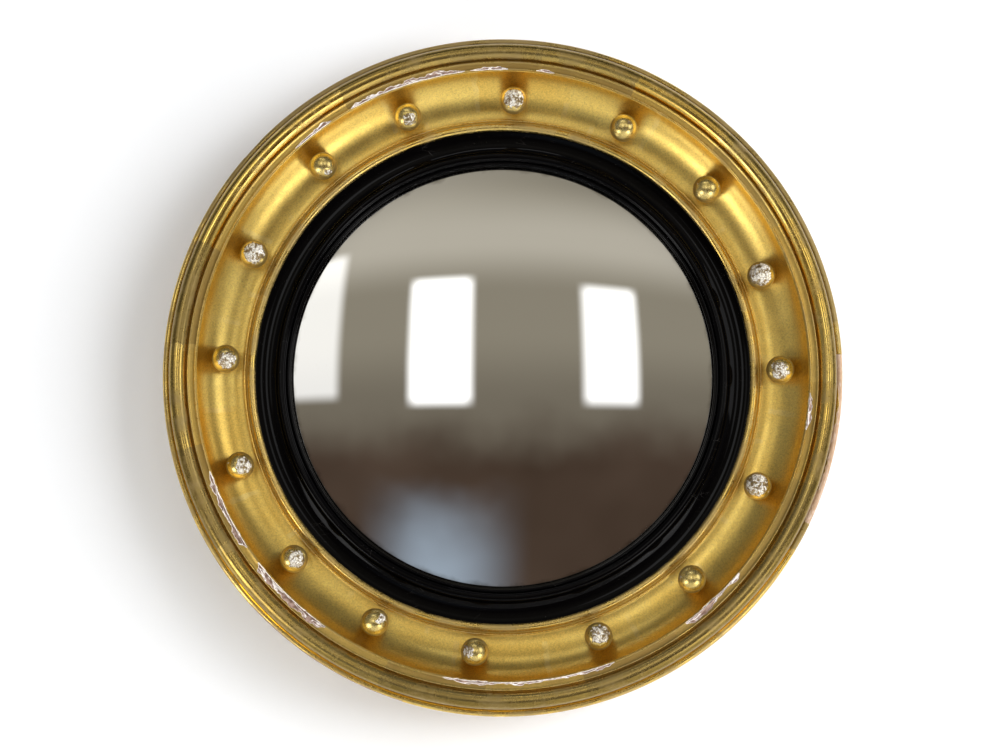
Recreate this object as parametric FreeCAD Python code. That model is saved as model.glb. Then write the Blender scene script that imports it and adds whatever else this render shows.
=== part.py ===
"""Round wall mirror: a gilt moulded frame with a ring of balls, a black slip and a domed glass.

Millimetres, +Z up. The mirror faces -Y, and its rings turn about the Y axis. Y = 0 is the
plane of the back. A height h is measured forwards from that plane, so it lies at y = -h.
Angles run in the plane of the mirror, from +X towards +Z, in degrees.
"""
import FreeCAD
import Part
import math
import os

from FreeCAD import Vector

# Main sizes
FRAME_RADIUS = 280.0
SIGHT_RADIUS = 175.4
BACK_RING_DEPTH = 20.0
SEGMENTS = 8
SEGMENT_ANGLE = 360.0 / SEGMENTS
FIRST_JOINT_ANGLE = 9.0
FIT_GAP = 0.1
SCREW_HOLE_GAP = 0.02

# Gilt moulding, from the edge inwards
SIDE_FOOT_RADIUS = FRAME_RADIUS - 6.0
EDGE_BEAD_RADIUS = 3.1
EDGE_BEAD_HEIGHT = 46.1
TORUS_CENTRE_RADIUS = FRAME_RADIUS - 13.4
TORUS_HEIGHT = 57.2
TORUS_RADIUS = 7.0
OUTER_CREST_RADIUS = FRAME_RADIUS - 22.3
OUTER_CREST_HEIGHT = 58.9
LIP_RADIUS = FRAME_RADIUS - 28.1
LIP_HEIGHT = 58.7
CREST_ROUND = 0.8
BAND_HOLLOW_DEPTH = 1.2
COVE_TOP = (FRAME_RADIUS - 29.6, 56.8)
COVE_MIDDLE = (FRAME_RADIUS - 42.6, 38.6)
COVE_FOOT = (FRAME_RADIUS - 65.3, 32.2)
INNER_FILLET_HEIGHT = 33.0
INNER_QUIRK_HEIGHT = 31.4
INNER_BEAD_RADIUS = 3.3
INNER_BEAD_CENTRE = (208.1, 32.4)
SLIP_REBATE_RADIUS = 210.0
SLIP_REBATE_HEIGHT = 27.5

# Balls of the cove
BALL_RADIUS = 11.5
BALL_RING_RADIUS = 228.4
BALL_SINK = 0.8
BALL_ANGLES = (
    0.9, 21.0, 42.3, 63.9, 87.7, 110.2, 130.7, 154.2,
    176.8, 199.3, 221.6, 242.8, 264.3, 290.0, 312.6, 336.2,
)
PIN_RADIUS = 0.8
PIN_IN_BALL = 14.0
PIN_IN_WOOD = 12.0

# Black slip
SLIP_RADIUS = 209.6
SLIP_FLANGE_HEIGHT = SLIP_REBATE_HEIGHT - FIT_GAP
SLIP_HOLLOW_HEIGHT = 25.6
SLIP_BEAD_RADIUS = 4.0
SLIP_BEAD_CENTRE = (183.7, 29.0)
SLIP_SMALL_BEAD_RADIUS = 1.4
SLIP_SMALL_BEAD_CENTRE = (178.0, 28.6)
GLASS_REBATE_RADIUS = 186.5
GLASS_LEDGE_HEIGHT = 24.5

# Domed glass and what holds it
GLASS_RADIUS = 185.0
GLASS_THICKNESS = 3.2
DOME_RADIUS = 664.0
PACKING_INNER_RADIUS = 177.0
PACKING_BACK_HEIGHT = 15.4
BLOCK_WIDTH = 36.0
BLOCK_INNER_RADIUS = 176.0
BLOCK_STEP_RADIUS = GLASS_REBATE_RADIUS + 0.5
BLOCK_FIRST_ANGLE = 22.5

# Back ring and backboard
BACK_RING_OUTER_RADIUS = FRAME_RADIUS - 8.0
BACK_RING_INNER_RADIUS = 212.0
BOARD_RADIUS = 211.4
BOARD_THICKNESS = 8.0
MIDDLE_PLANK_WIDTH = 150.0
PLANK_GAP = 0.4
BATTEN_OFFSET = 95.0
BATTEN_WIDTH = 38.0
BATTEN_LENGTH = 256.0
BATTEN_THICKNESS = 10.0
NAIL_HEIGHTS = (-115.0, -88.0, -40.0, 40.0, 88.0, 115.0)
NAIL_STAGGER = 8.0
NAIL_RADIUS = 1.2
NAIL_HEAD_RADIUS = 3.0
NAIL_HEAD_THICKNESS = 1.0
NAIL_LENGTH = 16.0

# Turn buttons
BUTTON_ANGLES = {"upper_right": 45.0, "upper_left": 135.0, "lower_left": 225.0, "lower_right": 315.0}
BUTTON_PIVOT_RADIUS = 227.0
BUTTON_REACH = 25.0
BUTTON_TAIL_ROUND = 7.0
BUTTON_NOSE_ROUND = 4.5
BUTTON_THICKNESS = 2.4
BUTTON_GAP = 0.25
BUTTON_SCREW_RADIUS = 2.0
BUTTON_BORE_RADIUS = BUTTON_SCREW_RADIUS + 0.06
BUTTON_SCREW_HEAD_RADIUS = 4.5
BUTTON_SCREW_HEAD_THICKNESS = 2.3
BUTTON_SCREW_IN_WOOD = 16.0
SLOT_WIDTH = 1.0
SLOT_DEPTH = 0.9

# Hanger
HANGER_AXIS_Z = 240.0
STRAP_WIDTH = 22.0
STRAP_THICKNESS = 1.6
STRAP_BOTTOM_Z = 214.0
KNUCKLE_RADIUS = 3.7
KNUCKLE_CENTRE_Y = 4.2
RING_WIRE_RADIUS = 2.0
RING_BORE_GAP = 0.08
RING_HALF_WIDTH = 16.0
RING_CORNER = 4.0
RING_LEG = 4.0
HANGER_SCREWS = ((-6.0, 231.0), (6.0, 231.0), (0.0, 220.0))
HANGER_SCREW_RADIUS = 1.6
HANGER_SCREW_HEAD_RADIUS = 3.1
HANGER_SCREW_LENGTH = 16.0

# Felt pads that stand the back off the wall
PAD_RADIUS = 10.0
PAD_THICKNESS = KNUCKLE_CENTRE_Y + KNUCKLE_RADIUS + FIT_GAP
PAD_RING_RADIUS = 256.0
PAD_ANGLES = {"left": 236.0, "right": 304.0}

AXIS = Vector(0, -1, 0)
BACKWARDS = Vector(0, 1, 0)
ORIGIN = Vector(0, 0, 0)


def section_point(radius, height):
    """A point of a ring's section, in the half plane x > 0, z = 0."""
    return Vector(radius, -height, 0)


def point_at(radius, angle, y=0.0):
    turn = math.radians(angle)
    return Vector(radius * math.cos(turn), y, radius * math.sin(turn))


class Section:
    """The closed outline of a ring, as lines and arcs through points (radius, height)."""

    def __init__(self, radius, height):
        self.first = (radius, height)
        self.last = self.first
        self.edges = []

    def line(self, radius, height):
        ends = (section_point(*self.last), section_point(radius, height))
        self.edges.append(Part.LineSegment(*ends).toShape())
        self.last = (radius, height)
        return self

    def arc(self, middle, end):
        ends = (section_point(*self.last), section_point(*middle), section_point(*end))
        self.edges.append(Part.Arc(*ends).toShape())
        self.last = end
        return self

    def bead(self, centre, radius, start, end):
        """A line to a round of this centre, and the round from angle start to angle end."""
        at = [on_circle(centre, radius, a) for a in (start, (start + end) / 2, end)]
        return self.line(*at[0]).arc(at[1], at[2])

    def face(self):
        self.line(*self.first)
        return Part.Face(Part.Wire(self.edges))


def on_circle(centre, radius, angle):
    turn = math.radians(angle)
    return (centre[0] + radius * math.cos(turn), centre[1] + radius * math.sin(turn))


def turned(face, start=0.0, sweep=360.0):
    """The ring, or the part of it from angle start, that this section turns into."""
    solid = face.revolve(ORIGIN, AXIS, sweep)
    solid.rotate(ORIGIN, AXIS, start)
    return solid


def cylinder(radius, length, base, direction=BACKWARDS):
    return Part.makeCylinder(radius, length, base, direction)


def box(x_range, y_range, z_range):
    low = Vector(x_range[0], y_range[0], z_range[0])
    return Part.makeBox(x_range[1] - x_range[0], y_range[1] - y_range[0], z_range[1] - z_range[0], low)


def circle_through(a, b, c):
    """Centre and radius of the circle through three section points."""
    circle = Part.Arc(section_point(*a), section_point(*b), section_point(*c)).toShape().Curve
    return (circle.Center.x, -circle.Center.y), circle.Radius


def moulding_section():
    """The gilt front ring, from the foot of its outer side, over the front, to the slip rebate."""
    torus_centre = (TORUS_CENTRE_RADIUS, TORUS_HEIGHT)
    edge_centre = (FRAME_RADIUS - EDGE_BEAD_RADIUS, EDGE_BEAD_HEIGHT)
    crest_centre = (OUTER_CREST_RADIUS, OUTER_CREST_HEIGHT)
    lip_centre = (LIP_RADIUS, LIP_HEIGHT)
    wall_radius = TORUS_CENTRE_RADIUS + TORUS_RADIUS
    quirk_radius = TORUS_CENTRE_RADIUS - TORUS_RADIUS - 0.3
    band_middle = ((OUTER_CREST_RADIUS + LIP_RADIUS) / 2, LIP_HEIGHT + CREST_ROUND - BAND_HOLLOW_DEPTH)
    section = Section(SIDE_FOOT_RADIUS, BACK_RING_DEPTH)
    section.bead(edge_centre, EDGE_BEAD_RADIUS, -90, 150)
    section.line(wall_radius + 0.2, EDGE_BEAD_HEIGHT + 0.8)
    section.bead(torus_centre, TORUS_RADIUS, -8, 188)
    section.line(quirk_radius, TORUS_HEIGHT - 1.6)
    section.bead(crest_centre, CREST_ROUND, 0, 120)
    section.arc(band_middle, on_circle(lip_centre, CREST_ROUND, 60))
    section.arc(on_circle(lip_centre, CREST_ROUND, 120), on_circle(lip_centre, CREST_ROUND, 180))
    section.line(LIP_RADIUS - CREST_ROUND, COVE_TOP[1] + 0.5)
    section.line(*COVE_TOP)
    section.arc(COVE_MIDDLE, COVE_FOOT)
    section.line(COVE_FOOT[0] - 0.2, INNER_FILLET_HEIGHT)
    section.line(COVE_FOOT[0] - 1.3, INNER_FILLET_HEIGHT)
    section.line(COVE_FOOT[0] - 2.3, INNER_QUIRK_HEIGHT)
    section.line(INNER_BEAD_CENTRE[0] + INNER_BEAD_RADIUS, INNER_QUIRK_HEIGHT)
    section.bead(INNER_BEAD_CENTRE, INNER_BEAD_RADIUS, 0, 180)
    section.line(INNER_BEAD_CENTRE[0] - INNER_BEAD_RADIUS, SLIP_REBATE_HEIGHT)
    section.line(SLIP_REBATE_RADIUS, SLIP_REBATE_HEIGHT)
    section.line(SLIP_REBATE_RADIUS, BACK_RING_DEPTH)
    return section.face()


def slip_section():
    """The black slip: a flange, a hollow, a bead and a small bead at the sight edge."""
    flange_end = INNER_BEAD_CENTRE[0] - INNER_BEAD_RADIUS
    bead_side = SLIP_BEAD_CENTRE[0] + SLIP_BEAD_RADIUS
    section = Section(SLIP_RADIUS, BACK_RING_DEPTH)
    section.line(SLIP_RADIUS, SLIP_FLANGE_HEIGHT)
    section.line(flange_end, SLIP_FLANGE_HEIGHT)
    section.arc((flange_end - 9.0, SLIP_HOLLOW_HEIGHT), (bead_side, SLIP_BEAD_CENTRE[1] - 0.6))
    section.bead(SLIP_BEAD_CENTRE, SLIP_BEAD_RADIUS, 0, 180)
    section.line(SLIP_BEAD_CENTRE[0] - SLIP_BEAD_RADIUS - 0.2, SLIP_SMALL_BEAD_CENTRE[1] - 0.3)
    section.bead(SLIP_SMALL_BEAD_CENTRE, SLIP_SMALL_BEAD_RADIUS, 10, 180)
    section.line(SIGHT_RADIUS, SLIP_SMALL_BEAD_CENTRE[1] - 1.4)
    section.line(SIGHT_RADIUS, GLASS_LEDGE_HEIGHT)
    section.line(GLASS_REBATE_RADIUS, GLASS_LEDGE_HEIGHT)
    section.line(GLASS_REBATE_RADIUS, BACK_RING_DEPTH)
    return section.face()


def dome_drop(radius, curve=DOME_RADIUS):
    """How far a dome of this curve falls from its middle at a radius."""
    return curve - math.sqrt(curve**2 - radius**2)


def dome_height(radius):
    """Height of the glass's front face at a radius. It rests on the ledge at the sight edge."""
    return GLASS_LEDGE_HEIGHT - FIT_GAP + dome_drop(SIGHT_RADIUS) - dome_drop(radius)


def dome_back_height(radius):
    return dome_height(0) - GLASS_THICKNESS - dome_drop(radius, DOME_RADIUS - GLASS_THICKNESS)


def glass_section():
    section = Section(0, dome_back_height(0)).line(0, dome_height(0))
    section.arc((GLASS_RADIUS / 2, dome_height(GLASS_RADIUS / 2)), (GLASS_RADIUS, dome_height(GLASS_RADIUS)))
    section.line(GLASS_RADIUS, dome_back_height(GLASS_RADIUS))
    middle = (GLASS_RADIUS / 2, dome_back_height(GLASS_RADIUS / 2))
    section.arc(middle, section.first)
    return Part.Face(Part.Wire(section.edges))


def packing_section():
    section = Section(GLASS_RADIUS, PACKING_BACK_HEIGHT)
    section.line(GLASS_RADIUS, dome_back_height(GLASS_RADIUS) - FIT_GAP)
    section.line(PACKING_INNER_RADIUS, dome_back_height(PACKING_INNER_RADIUS) - FIT_GAP)
    section.line(PACKING_INNER_RADIUS, PACKING_BACK_HEIGHT)
    return section.face()


def back_ring_section():
    section = Section(BACK_RING_OUTER_RADIUS, 0).line(BACK_RING_OUTER_RADIUS, BACK_RING_DEPTH)
    section.line(BACK_RING_INNER_RADIUS, BACK_RING_DEPTH).line(BACK_RING_INNER_RADIUS, 0)
    return section.face()


def ball_seat():
    """Centre (radius, height) of a ball at rest in the cove, and the unit way into the wood."""
    cove_centre, cove_radius = circle_through(COVE_TOP, COVE_MIDDLE, COVE_FOOT)
    reach = cove_radius - BALL_RADIUS + BALL_SINK
    across = BALL_RING_RADIUS - cove_centre[0]
    down = math.sqrt(reach**2 - across**2)
    centre = (BALL_RING_RADIUS, cove_centre[1] - down)
    return centre, (across / reach, -down / reach)


def pin(extra=0.0):
    """The headless pin of a ball at angle 0, or with extra its hole."""
    centre, way = ball_seat()
    start = section_point(centre[0], centre[1]) - section_point(*way) * (PIN_IN_BALL - BALL_RADIUS)
    length = PIN_IN_BALL + PIN_IN_WOOD
    return cylinder(PIN_RADIUS + extra, length, start, section_point(*way))


def at_angle(shape, angle):
    copy = shape.copy()
    copy.rotate(ORIGIN, AXIS, angle)
    return copy


def ball(moulding):
    """A ball at angle 0, hollowed where it beds on the cove and bored for its pin."""
    centre, _ = ball_seat()
    sphere = Part.makeSphere(BALL_RADIUS, section_point(*centre))
    return sphere.cut(moulding).cut(pin(SCREW_HOLE_GAP))


def front_segments(moulding_face):
    holes = [at_angle(pin(SCREW_HOLE_GAP), a) for a in BALL_ANGLES]
    for index in range(SEGMENTS):
        segment = turned(moulding_face, FIRST_JOINT_ANGLE + index * SEGMENT_ANGLE, SEGMENT_ANGLE)
        inside = [h for h in holes if h.common(segment).Volume > 0]
        yield f"front_segment_{index + 1}", segment.cut(inside)


def button_screw_hole(angle):
    base = point_at(BUTTON_PIVOT_RADIUS, angle, -BUTTON_SCREW_IN_WOOD)
    return cylinder(BUTTON_SCREW_RADIUS + SCREW_HOLE_GAP, BUTTON_SCREW_IN_WOOD, base)


def hanger_screw(x, z, extra=0.0):
    """A countersunk screw whose head lies flush with the strap's outer face."""
    head_depth = HANGER_SCREW_HEAD_RADIUS - HANGER_SCREW_RADIUS
    tip = Vector(x, STRAP_THICKNESS - HANGER_SCREW_LENGTH, z)
    neck = Vector(x, STRAP_THICKNESS - head_depth, z)
    shank = cylinder(HANGER_SCREW_RADIUS + extra, HANGER_SCREW_LENGTH - head_depth, tip)
    radii = (HANGER_SCREW_RADIUS + extra, HANGER_SCREW_HEAD_RADIUS + extra)
    head = Part.makeCone(*radii, head_depth, neck, BACKWARDS)
    return shank.fuse(head)


def screw_slot(centre, angle, length):
    """A driver slot to cut in a screw head whose outer face is at centre."""
    slot = box((-length, length), (-SLOT_DEPTH, SLOT_DEPTH), (-SLOT_WIDTH / 2, SLOT_WIDTH / 2))
    slot.rotate(ORIGIN, AXIS, angle)
    slot.translate(centre)
    return slot


def back_segments():
    holes = [button_screw_hole(a) for a in BUTTON_ANGLES.values()]
    holes += [hanger_screw(x, z, SCREW_HOLE_GAP) for x, z in HANGER_SCREWS]
    first = FIRST_JOINT_ANGLE + SEGMENT_ANGLE / 2
    for index in range(SEGMENTS):
        segment = turned(back_ring_section(), first + index * SEGMENT_ANGLE, SEGMENT_ANGLE)
        inside = [h for h in holes if h.common(segment).Volume > 0]
        yield f"back_segment_{index + 1}", segment.cut(inside) if inside else segment


def glazing_blocks():
    """Stepped blocks glued inside the back ring: they hold the slip and, on felt, the glass."""
    half = BLOCK_WIDTH / 2
    across = (-half, half)
    inner = box((BLOCK_INNER_RADIUS, SLIP_RADIUS), (-PACKING_BACK_HEIGHT, -BOARD_THICKNESS), across)
    outer = box((BLOCK_STEP_RADIUS, BACK_RING_INNER_RADIUS), (-BACK_RING_DEPTH, -BOARD_THICKNESS), across)
    bore = cylinder(BACK_RING_INNER_RADIUS, BACK_RING_DEPTH, Vector(0, -BACK_RING_DEPTH, 0))
    block = inner.fuse(outer).common(bore).removeSplitter()
    return [at_angle(block, BLOCK_FIRST_ANGLE + i * SEGMENT_ANGLE) for i in range(SEGMENTS)]


def nail_places():
    for side in (-1, 1):
        for count, z in enumerate(NAIL_HEIGHTS):
            stagger = NAIL_STAGGER if count % 2 else -NAIL_STAGGER
            yield side * BATTEN_OFFSET + stagger, z


def nail(x, z, extra=0.0):
    shank = cylinder(NAIL_RADIUS + extra, NAIL_LENGTH, Vector(x, -NAIL_LENGTH, z))
    head = cylinder(NAIL_HEAD_RADIUS + extra, NAIL_HEAD_THICKNESS, Vector(x, -NAIL_HEAD_THICKNESS, z))
    return shank.fuse(head)


def planks(holes):
    disc = cylinder(BOARD_RADIUS, BOARD_THICKNESS, Vector(0, -BOARD_THICKNESS, 0)).cut(holes)
    half = MIDDLE_PLANK_WIDTH / 2
    bands = {
        "backboard_top": (half + PLANK_GAP, BOARD_RADIUS),
        "backboard_middle": (-half, half),
        "backboard_bottom": (-BOARD_RADIUS, -half - PLANK_GAP),
    }
    for name, z_range in bands.items():
        yield name, disc.common(box((-BOARD_RADIUS, BOARD_RADIUS), (-BOARD_THICKNESS, 0), z_range))


def battens(holes):
    half_width = BATTEN_WIDTH / 2
    y_range = (-BOARD_THICKNESS - BATTEN_THICKNESS, -BOARD_THICKNESS)
    z_range = (-BATTEN_LENGTH / 2, BATTEN_LENGTH / 2)
    for name, side in (("left", -1), ("right", 1)):
        middle = side * BATTEN_OFFSET
        batten = box((middle - half_width, middle + half_width), y_range, z_range)
        yield f"backboard_batten_{name}", batten.cut(holes)


def button_plate():
    """A turn button at angle 0, its nose towards the middle: two rounds joined by tangents."""
    tail = Vector(BUTTON_PIVOT_RADIUS, BUTTON_GAP, 0)
    nose = tail - Vector(BUTTON_REACH, 0, 0)
    lean = math.degrees(math.asin((BUTTON_TAIL_ROUND - BUTTON_NOSE_ROUND) / BUTTON_REACH))

    def rim(centre, radius, angle):
        turn = math.radians(angle)
        return centre + Vector(radius * math.cos(turn), 0, radius * math.sin(turn))

    top = 90 + lean
    a = rim(nose, BUTTON_NOSE_ROUND, top)
    b = rim(tail, BUTTON_TAIL_ROUND, top)
    c = rim(tail, BUTTON_TAIL_ROUND, -top)
    d = rim(nose, BUTTON_NOSE_ROUND, -top)
    outline = Part.Wire(
        [
            Part.LineSegment(a, b).toShape(),
            Part.Arc(b, rim(tail, BUTTON_TAIL_ROUND, 0), c).toShape(),
            Part.LineSegment(c, d).toShape(),
            Part.Arc(d, rim(nose, BUTTON_NOSE_ROUND, 180), a).toShape(),
        ]
    )
    plate = Part.Face(outline).extrude(Vector(0, BUTTON_THICKNESS, 0))
    bore = cylinder(BUTTON_BORE_RADIUS, BUTTON_THICKNESS, tail)
    return plate.cut(bore)


def button_screw(angle):
    """A round-headed screw that stands in the back ring and lets the button turn under its head."""
    neck = 2 * BUTTON_GAP + BUTTON_THICKNESS
    rise = BUTTON_SCREW_HEAD_THICKNESS
    dome_radius = (BUTTON_SCREW_HEAD_RADIUS**2 + rise**2) / (2 * rise)
    dome = Part.makeSphere(dome_radius, Vector(0, neck + rise - dome_radius, 0))
    head = dome.common(cylinder(BUTTON_SCREW_HEAD_RADIUS, rise + 1, Vector(0, neck, 0)))
    shank = cylinder(BUTTON_SCREW_RADIUS, BUTTON_SCREW_IN_WOOD + neck, Vector(0, -BUTTON_SCREW_IN_WOOD, 0))
    crown = Vector(0, neck + rise, 0)
    screw = head.fuse(shank).cut(screw_slot(crown, angle + 20, BUTTON_SCREW_HEAD_RADIUS + 1))
    screw.translate(point_at(BUTTON_PIVOT_RADIUS, angle))
    return screw


def hanger_strap():
    """A brass strap rolled into a knuckle at its top, where the ring's bar turns."""
    half = STRAP_WIDTH / 2
    plate = box((-half, half), (0, STRAP_THICKNESS), (STRAP_BOTTOM_Z, HANGER_AXIS_Z))
    knuckle_base = Vector(-half, KNUCKLE_CENTRE_Y, HANGER_AXIS_Z)
    along = Vector(1, 0, 0)
    knuckle = cylinder(KNUCKLE_RADIUS, STRAP_WIDTH, knuckle_base, along)
    bore = cylinder(RING_WIRE_RADIUS + RING_BORE_GAP, STRAP_WIDTH, knuckle_base, along)
    strap = plate.fuse(knuckle).removeSplitter().cut(bore)
    return strap.cut([hanger_screw(x, z, SCREW_HOLE_GAP) for x, z in HANGER_SCREWS])


def hanging_ring():
    """A D-shaped wire ring, hanging straight down from the bar that turns in the knuckle."""
    bar = RING_HALF_WIDTH - RING_CORNER
    top = HANGER_AXIS_Z
    leg_top = top - RING_CORNER
    leg_foot = leg_top - RING_LEG

    def wire_at(x, z, way):
        circle = Part.Circle(Vector(x, KNUCKLE_CENTRE_Y, z), way, RING_WIRE_RADIUS)
        return Part.Face(Part.Wire(circle.toShape()))

    def bend(x, z, way, pivot_x, pivot_z, turn):
        return wire_at(x, z, way).revolve(Vector(pivot_x, KNUCKLE_CENTRE_Y, pivot_z), BACKWARDS, turn)

    along = Vector(1, 0, 0)
    down = Vector(0, 0, -1)
    ring = wire_at(-bar, top, along).extrude(Vector(2 * bar, 0, 0))
    for side in (-1, 1):
        leg = wire_at(side * RING_HALF_WIDTH, leg_top, down).extrude(Vector(0, 0, -RING_LEG))
        corner = bend(side * bar, top, along, side * bar, leg_top, side * 90)
        ring = ring.fuse([corner, leg])
    loop = bend(RING_HALF_WIDTH, leg_foot, down, 0, leg_foot, 180)
    return ring.fuse(loop).removeSplitter()


def wall_pad(angle):
    return cylinder(PAD_RADIUS, PAD_THICKNESS, point_at(PAD_RING_RADIUS, angle))


def make_parts():
    """Every node's name with its solids."""
    moulding_face = moulding_section()
    nail_holes = [nail(x, z, SCREW_HOLE_GAP) for x, z in nail_places()]
    screws = []
    for x, z in HANGER_SCREWS:
        screws.append(hanger_screw(x, z).cut(screw_slot(Vector(x, STRAP_THICKNESS, z), 35 + x, 4.0)))

    parts = dict(front_segments(moulding_face))
    parts.update(back_segments())
    one_ball = ball(turned(moulding_face))
    for index, angle in enumerate(BALL_ANGLES):
        parts[f"ball_{index + 1:02d}"] = at_angle(one_ball, angle)
    parts["ball_pins"] = [at_angle(pin(), a) for a in BALL_ANGLES]
    parts["ebonised_slip"] = turned(slip_section())
    parts["convex_glass"] = turned(glass_section())
    parts["glass_packing"] = turned(packing_section())
    parts["glazing_blocks"] = glazing_blocks()
    parts.update(planks(nail_holes))
    parts.update(battens(nail_holes))
    parts["batten_nails"] = [nail(x, z) for x, z in nail_places()]
    plate = button_plate()
    for name, angle in BUTTON_ANGLES.items():
        parts[f"turn_button_{name}"] = at_angle(plate, angle)
    parts["turn_button_screws"] = [button_screw(a) for a in BUTTON_ANGLES.values()]
    parts["hanger_strap"] = hanger_strap()
    parts["hanger_screws"] = screws
    parts["hanging_ring"] = hanging_ring()
    for name, angle in PAD_ANGLES.items():
        parts[f"wall_pad_{name}"] = wall_pad(angle)
    return parts


def write_parts(parts):
    os.makedirs("parts", exist_ok=True)
    for name, made in parts.items():
        shape = Part.makeCompound(made) if isinstance(made, list) else made
        shape.exportStep(os.path.join("parts", name + ".step"))
        solids = shape.Solids
        print(f"{name}: {len(solids)} solid(s), {shape.Volume / 1000:.2f} cm3, valid {shape.isValid()}")


write_parts(make_parts())
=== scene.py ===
import itertools
import math

import bmesh
import bpy
import numpy as np
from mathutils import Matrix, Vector


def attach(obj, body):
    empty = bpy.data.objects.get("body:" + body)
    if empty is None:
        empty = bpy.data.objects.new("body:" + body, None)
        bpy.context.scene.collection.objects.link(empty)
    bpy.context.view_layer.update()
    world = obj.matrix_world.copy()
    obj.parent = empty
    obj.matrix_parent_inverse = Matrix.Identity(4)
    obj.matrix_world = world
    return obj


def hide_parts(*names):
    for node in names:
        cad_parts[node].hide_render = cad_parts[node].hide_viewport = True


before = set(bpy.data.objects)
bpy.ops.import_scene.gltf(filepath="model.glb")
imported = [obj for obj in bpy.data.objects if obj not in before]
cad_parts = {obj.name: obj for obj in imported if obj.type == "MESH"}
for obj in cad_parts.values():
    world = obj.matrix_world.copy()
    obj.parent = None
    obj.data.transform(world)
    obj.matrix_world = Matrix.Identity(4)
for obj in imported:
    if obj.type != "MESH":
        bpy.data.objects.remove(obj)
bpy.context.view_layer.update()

# The mirror faces -Y and its rings turn about the Y axis. A height is measured forwards from the
# back, which is at Y = 0. Angles run from +X towards +Z. Everything is in metres.


# ---- Back ring --------------------------------------------------------------------------------
# Eight pine segments, sawn to the curve and glued end to end behind the front ring, with their
# grain straight along each one. They were brushed over with thin yellow ochre and left rough.
segment_count = 8
segment_angle = math.tau / segment_count
first_joint = math.radians(9.0)
board_arris = 0.0006
plank_step = (1.7, 0.31, 0.23)


class Wire:
    """An output of a node. Sums and products done on it add Math nodes to its tree."""

    def __init__(self, socket):
        self.socket = socket
        self.tree = socket.id_data

    def math(self, operation, *others):
        values = dict(enumerate((self, *others)))
        return add(self.tree, "ShaderNodeMath", values, operation=operation)

    def __add__(self, other):
        return self.math("ADD", other)

    def __sub__(self, other):
        return self.math("SUBTRACT", other)

    def __mul__(self, other):
        return self.math("MULTIPLY", other)

    def __truediv__(self, other):
        return self.math("DIVIDE", other)

    def ramp(self, low, high, start=0.0, end=1.0):
        """Goes smoothly from start, where this is low, to end, where it is high."""
        ends = {"From Min": low, "From Max": high, "To Min": start, "To Max": end}
        if low > high:
            ends = {"From Min": high, "From Max": low, "To Min": end, "To Max": start}
        kind = {"interpolation_type": "SMOOTHSTEP"}
        return add(self.tree, "ShaderNodeMapRange", {"Value": self, **ends}, **kind)


def connect(node, inputs):
    """Sets a node's inputs, by name, identifier or number, to values or wires."""
    for key, value in inputs.items():
        if isinstance(key, int):
            socket = node.inputs[key]
        else:
            socket = next(s for s in node.inputs if s.identifier == key)
        if isinstance(value, Wire):
            node.id_data.links.new(value.socket, socket)
        elif socket.type == "RGBA":
            socket.default_value = (*value, 1.0)
        else:
            socket.default_value = value


def add(tree, kind, inputs=None, output=0, **settings):
    """Puts a node in a tree and gives back one of its outputs."""
    node = tree.nodes.new(kind)
    for name, value in settings.items():
        setattr(node, name, value)
    connect(node, inputs or {})
    return Wire(node.outputs[output])


def cloud(place, scale, detail=2.0, roughness=0.5, distortion=0.0):
    """Soft random patches, 1 / scale metres across, mostly from 0.25 to 0.75."""
    inputs = {"Vector": place, "Scale": scale, "Detail": detail}
    inputs.update({"Roughness": roughness, "Distortion": distortion})
    return add(place.tree, "ShaderNodeTexNoise", inputs, "Fac")


def cells(place, scale, feature="F1"):
    """How far the nearest of many scattered points, or the edge between two, is."""
    inputs = {"Vector": place, "Scale": scale}
    return add(place.tree, "ShaderNodeTexVoronoi", inputs, "Distance", feature=feature)


def stretched(place, scale, shift=(0.0, 0.0, 0.0), turn=(0.0, 0.0, 0.0)):
    inputs = {"Vector": place, "Scale": scale, "Location": shift, "Rotation": turn}
    return add(place.tree, "ShaderNodeMapping", inputs)


def tint(share, first, second):
    """From the first colour to the second as share goes from 0 to 1."""
    inputs = {"Factor_Float": share, "A_Color": first, "B_Color": second}
    return add(share.tree, "ShaderNodeMix", inputs, 2, data_type="RGBA")


def darker(colour, level):
    """A colour times a level, which may also be above one."""
    inputs = {0: colour, "Scale": level}
    return add(colour.tree, "ShaderNodeVectorMath", inputs, operation="SCALE")


def bumped(height, depth, strength=1.0):
    """A normal for a relief of this depth, in metres, where height goes from 0 to 1."""
    inputs = {"Height": height, "Distance": depth, "Strength": strength}
    return add(height.tree, "ShaderNodeBump", inputs)


def finish(name, **surface_values):
    """A new material, with its tree and its surface node."""
    material = bpy.data.materials.new(name)
    material.use_nodes = True
    surface = material.node_tree.nodes["Principled BSDF"]
    connect(surface, surface_values)
    return material, material.node_tree, surface


def attribute(tree, name, output="Fac"):
    return add(tree, "ShaderNodeAttribute", {}, output, attribute_name=name)


def object_place(tree):
    return add(tree, "ShaderNodeTexCoord", {}, "Object")


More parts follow.
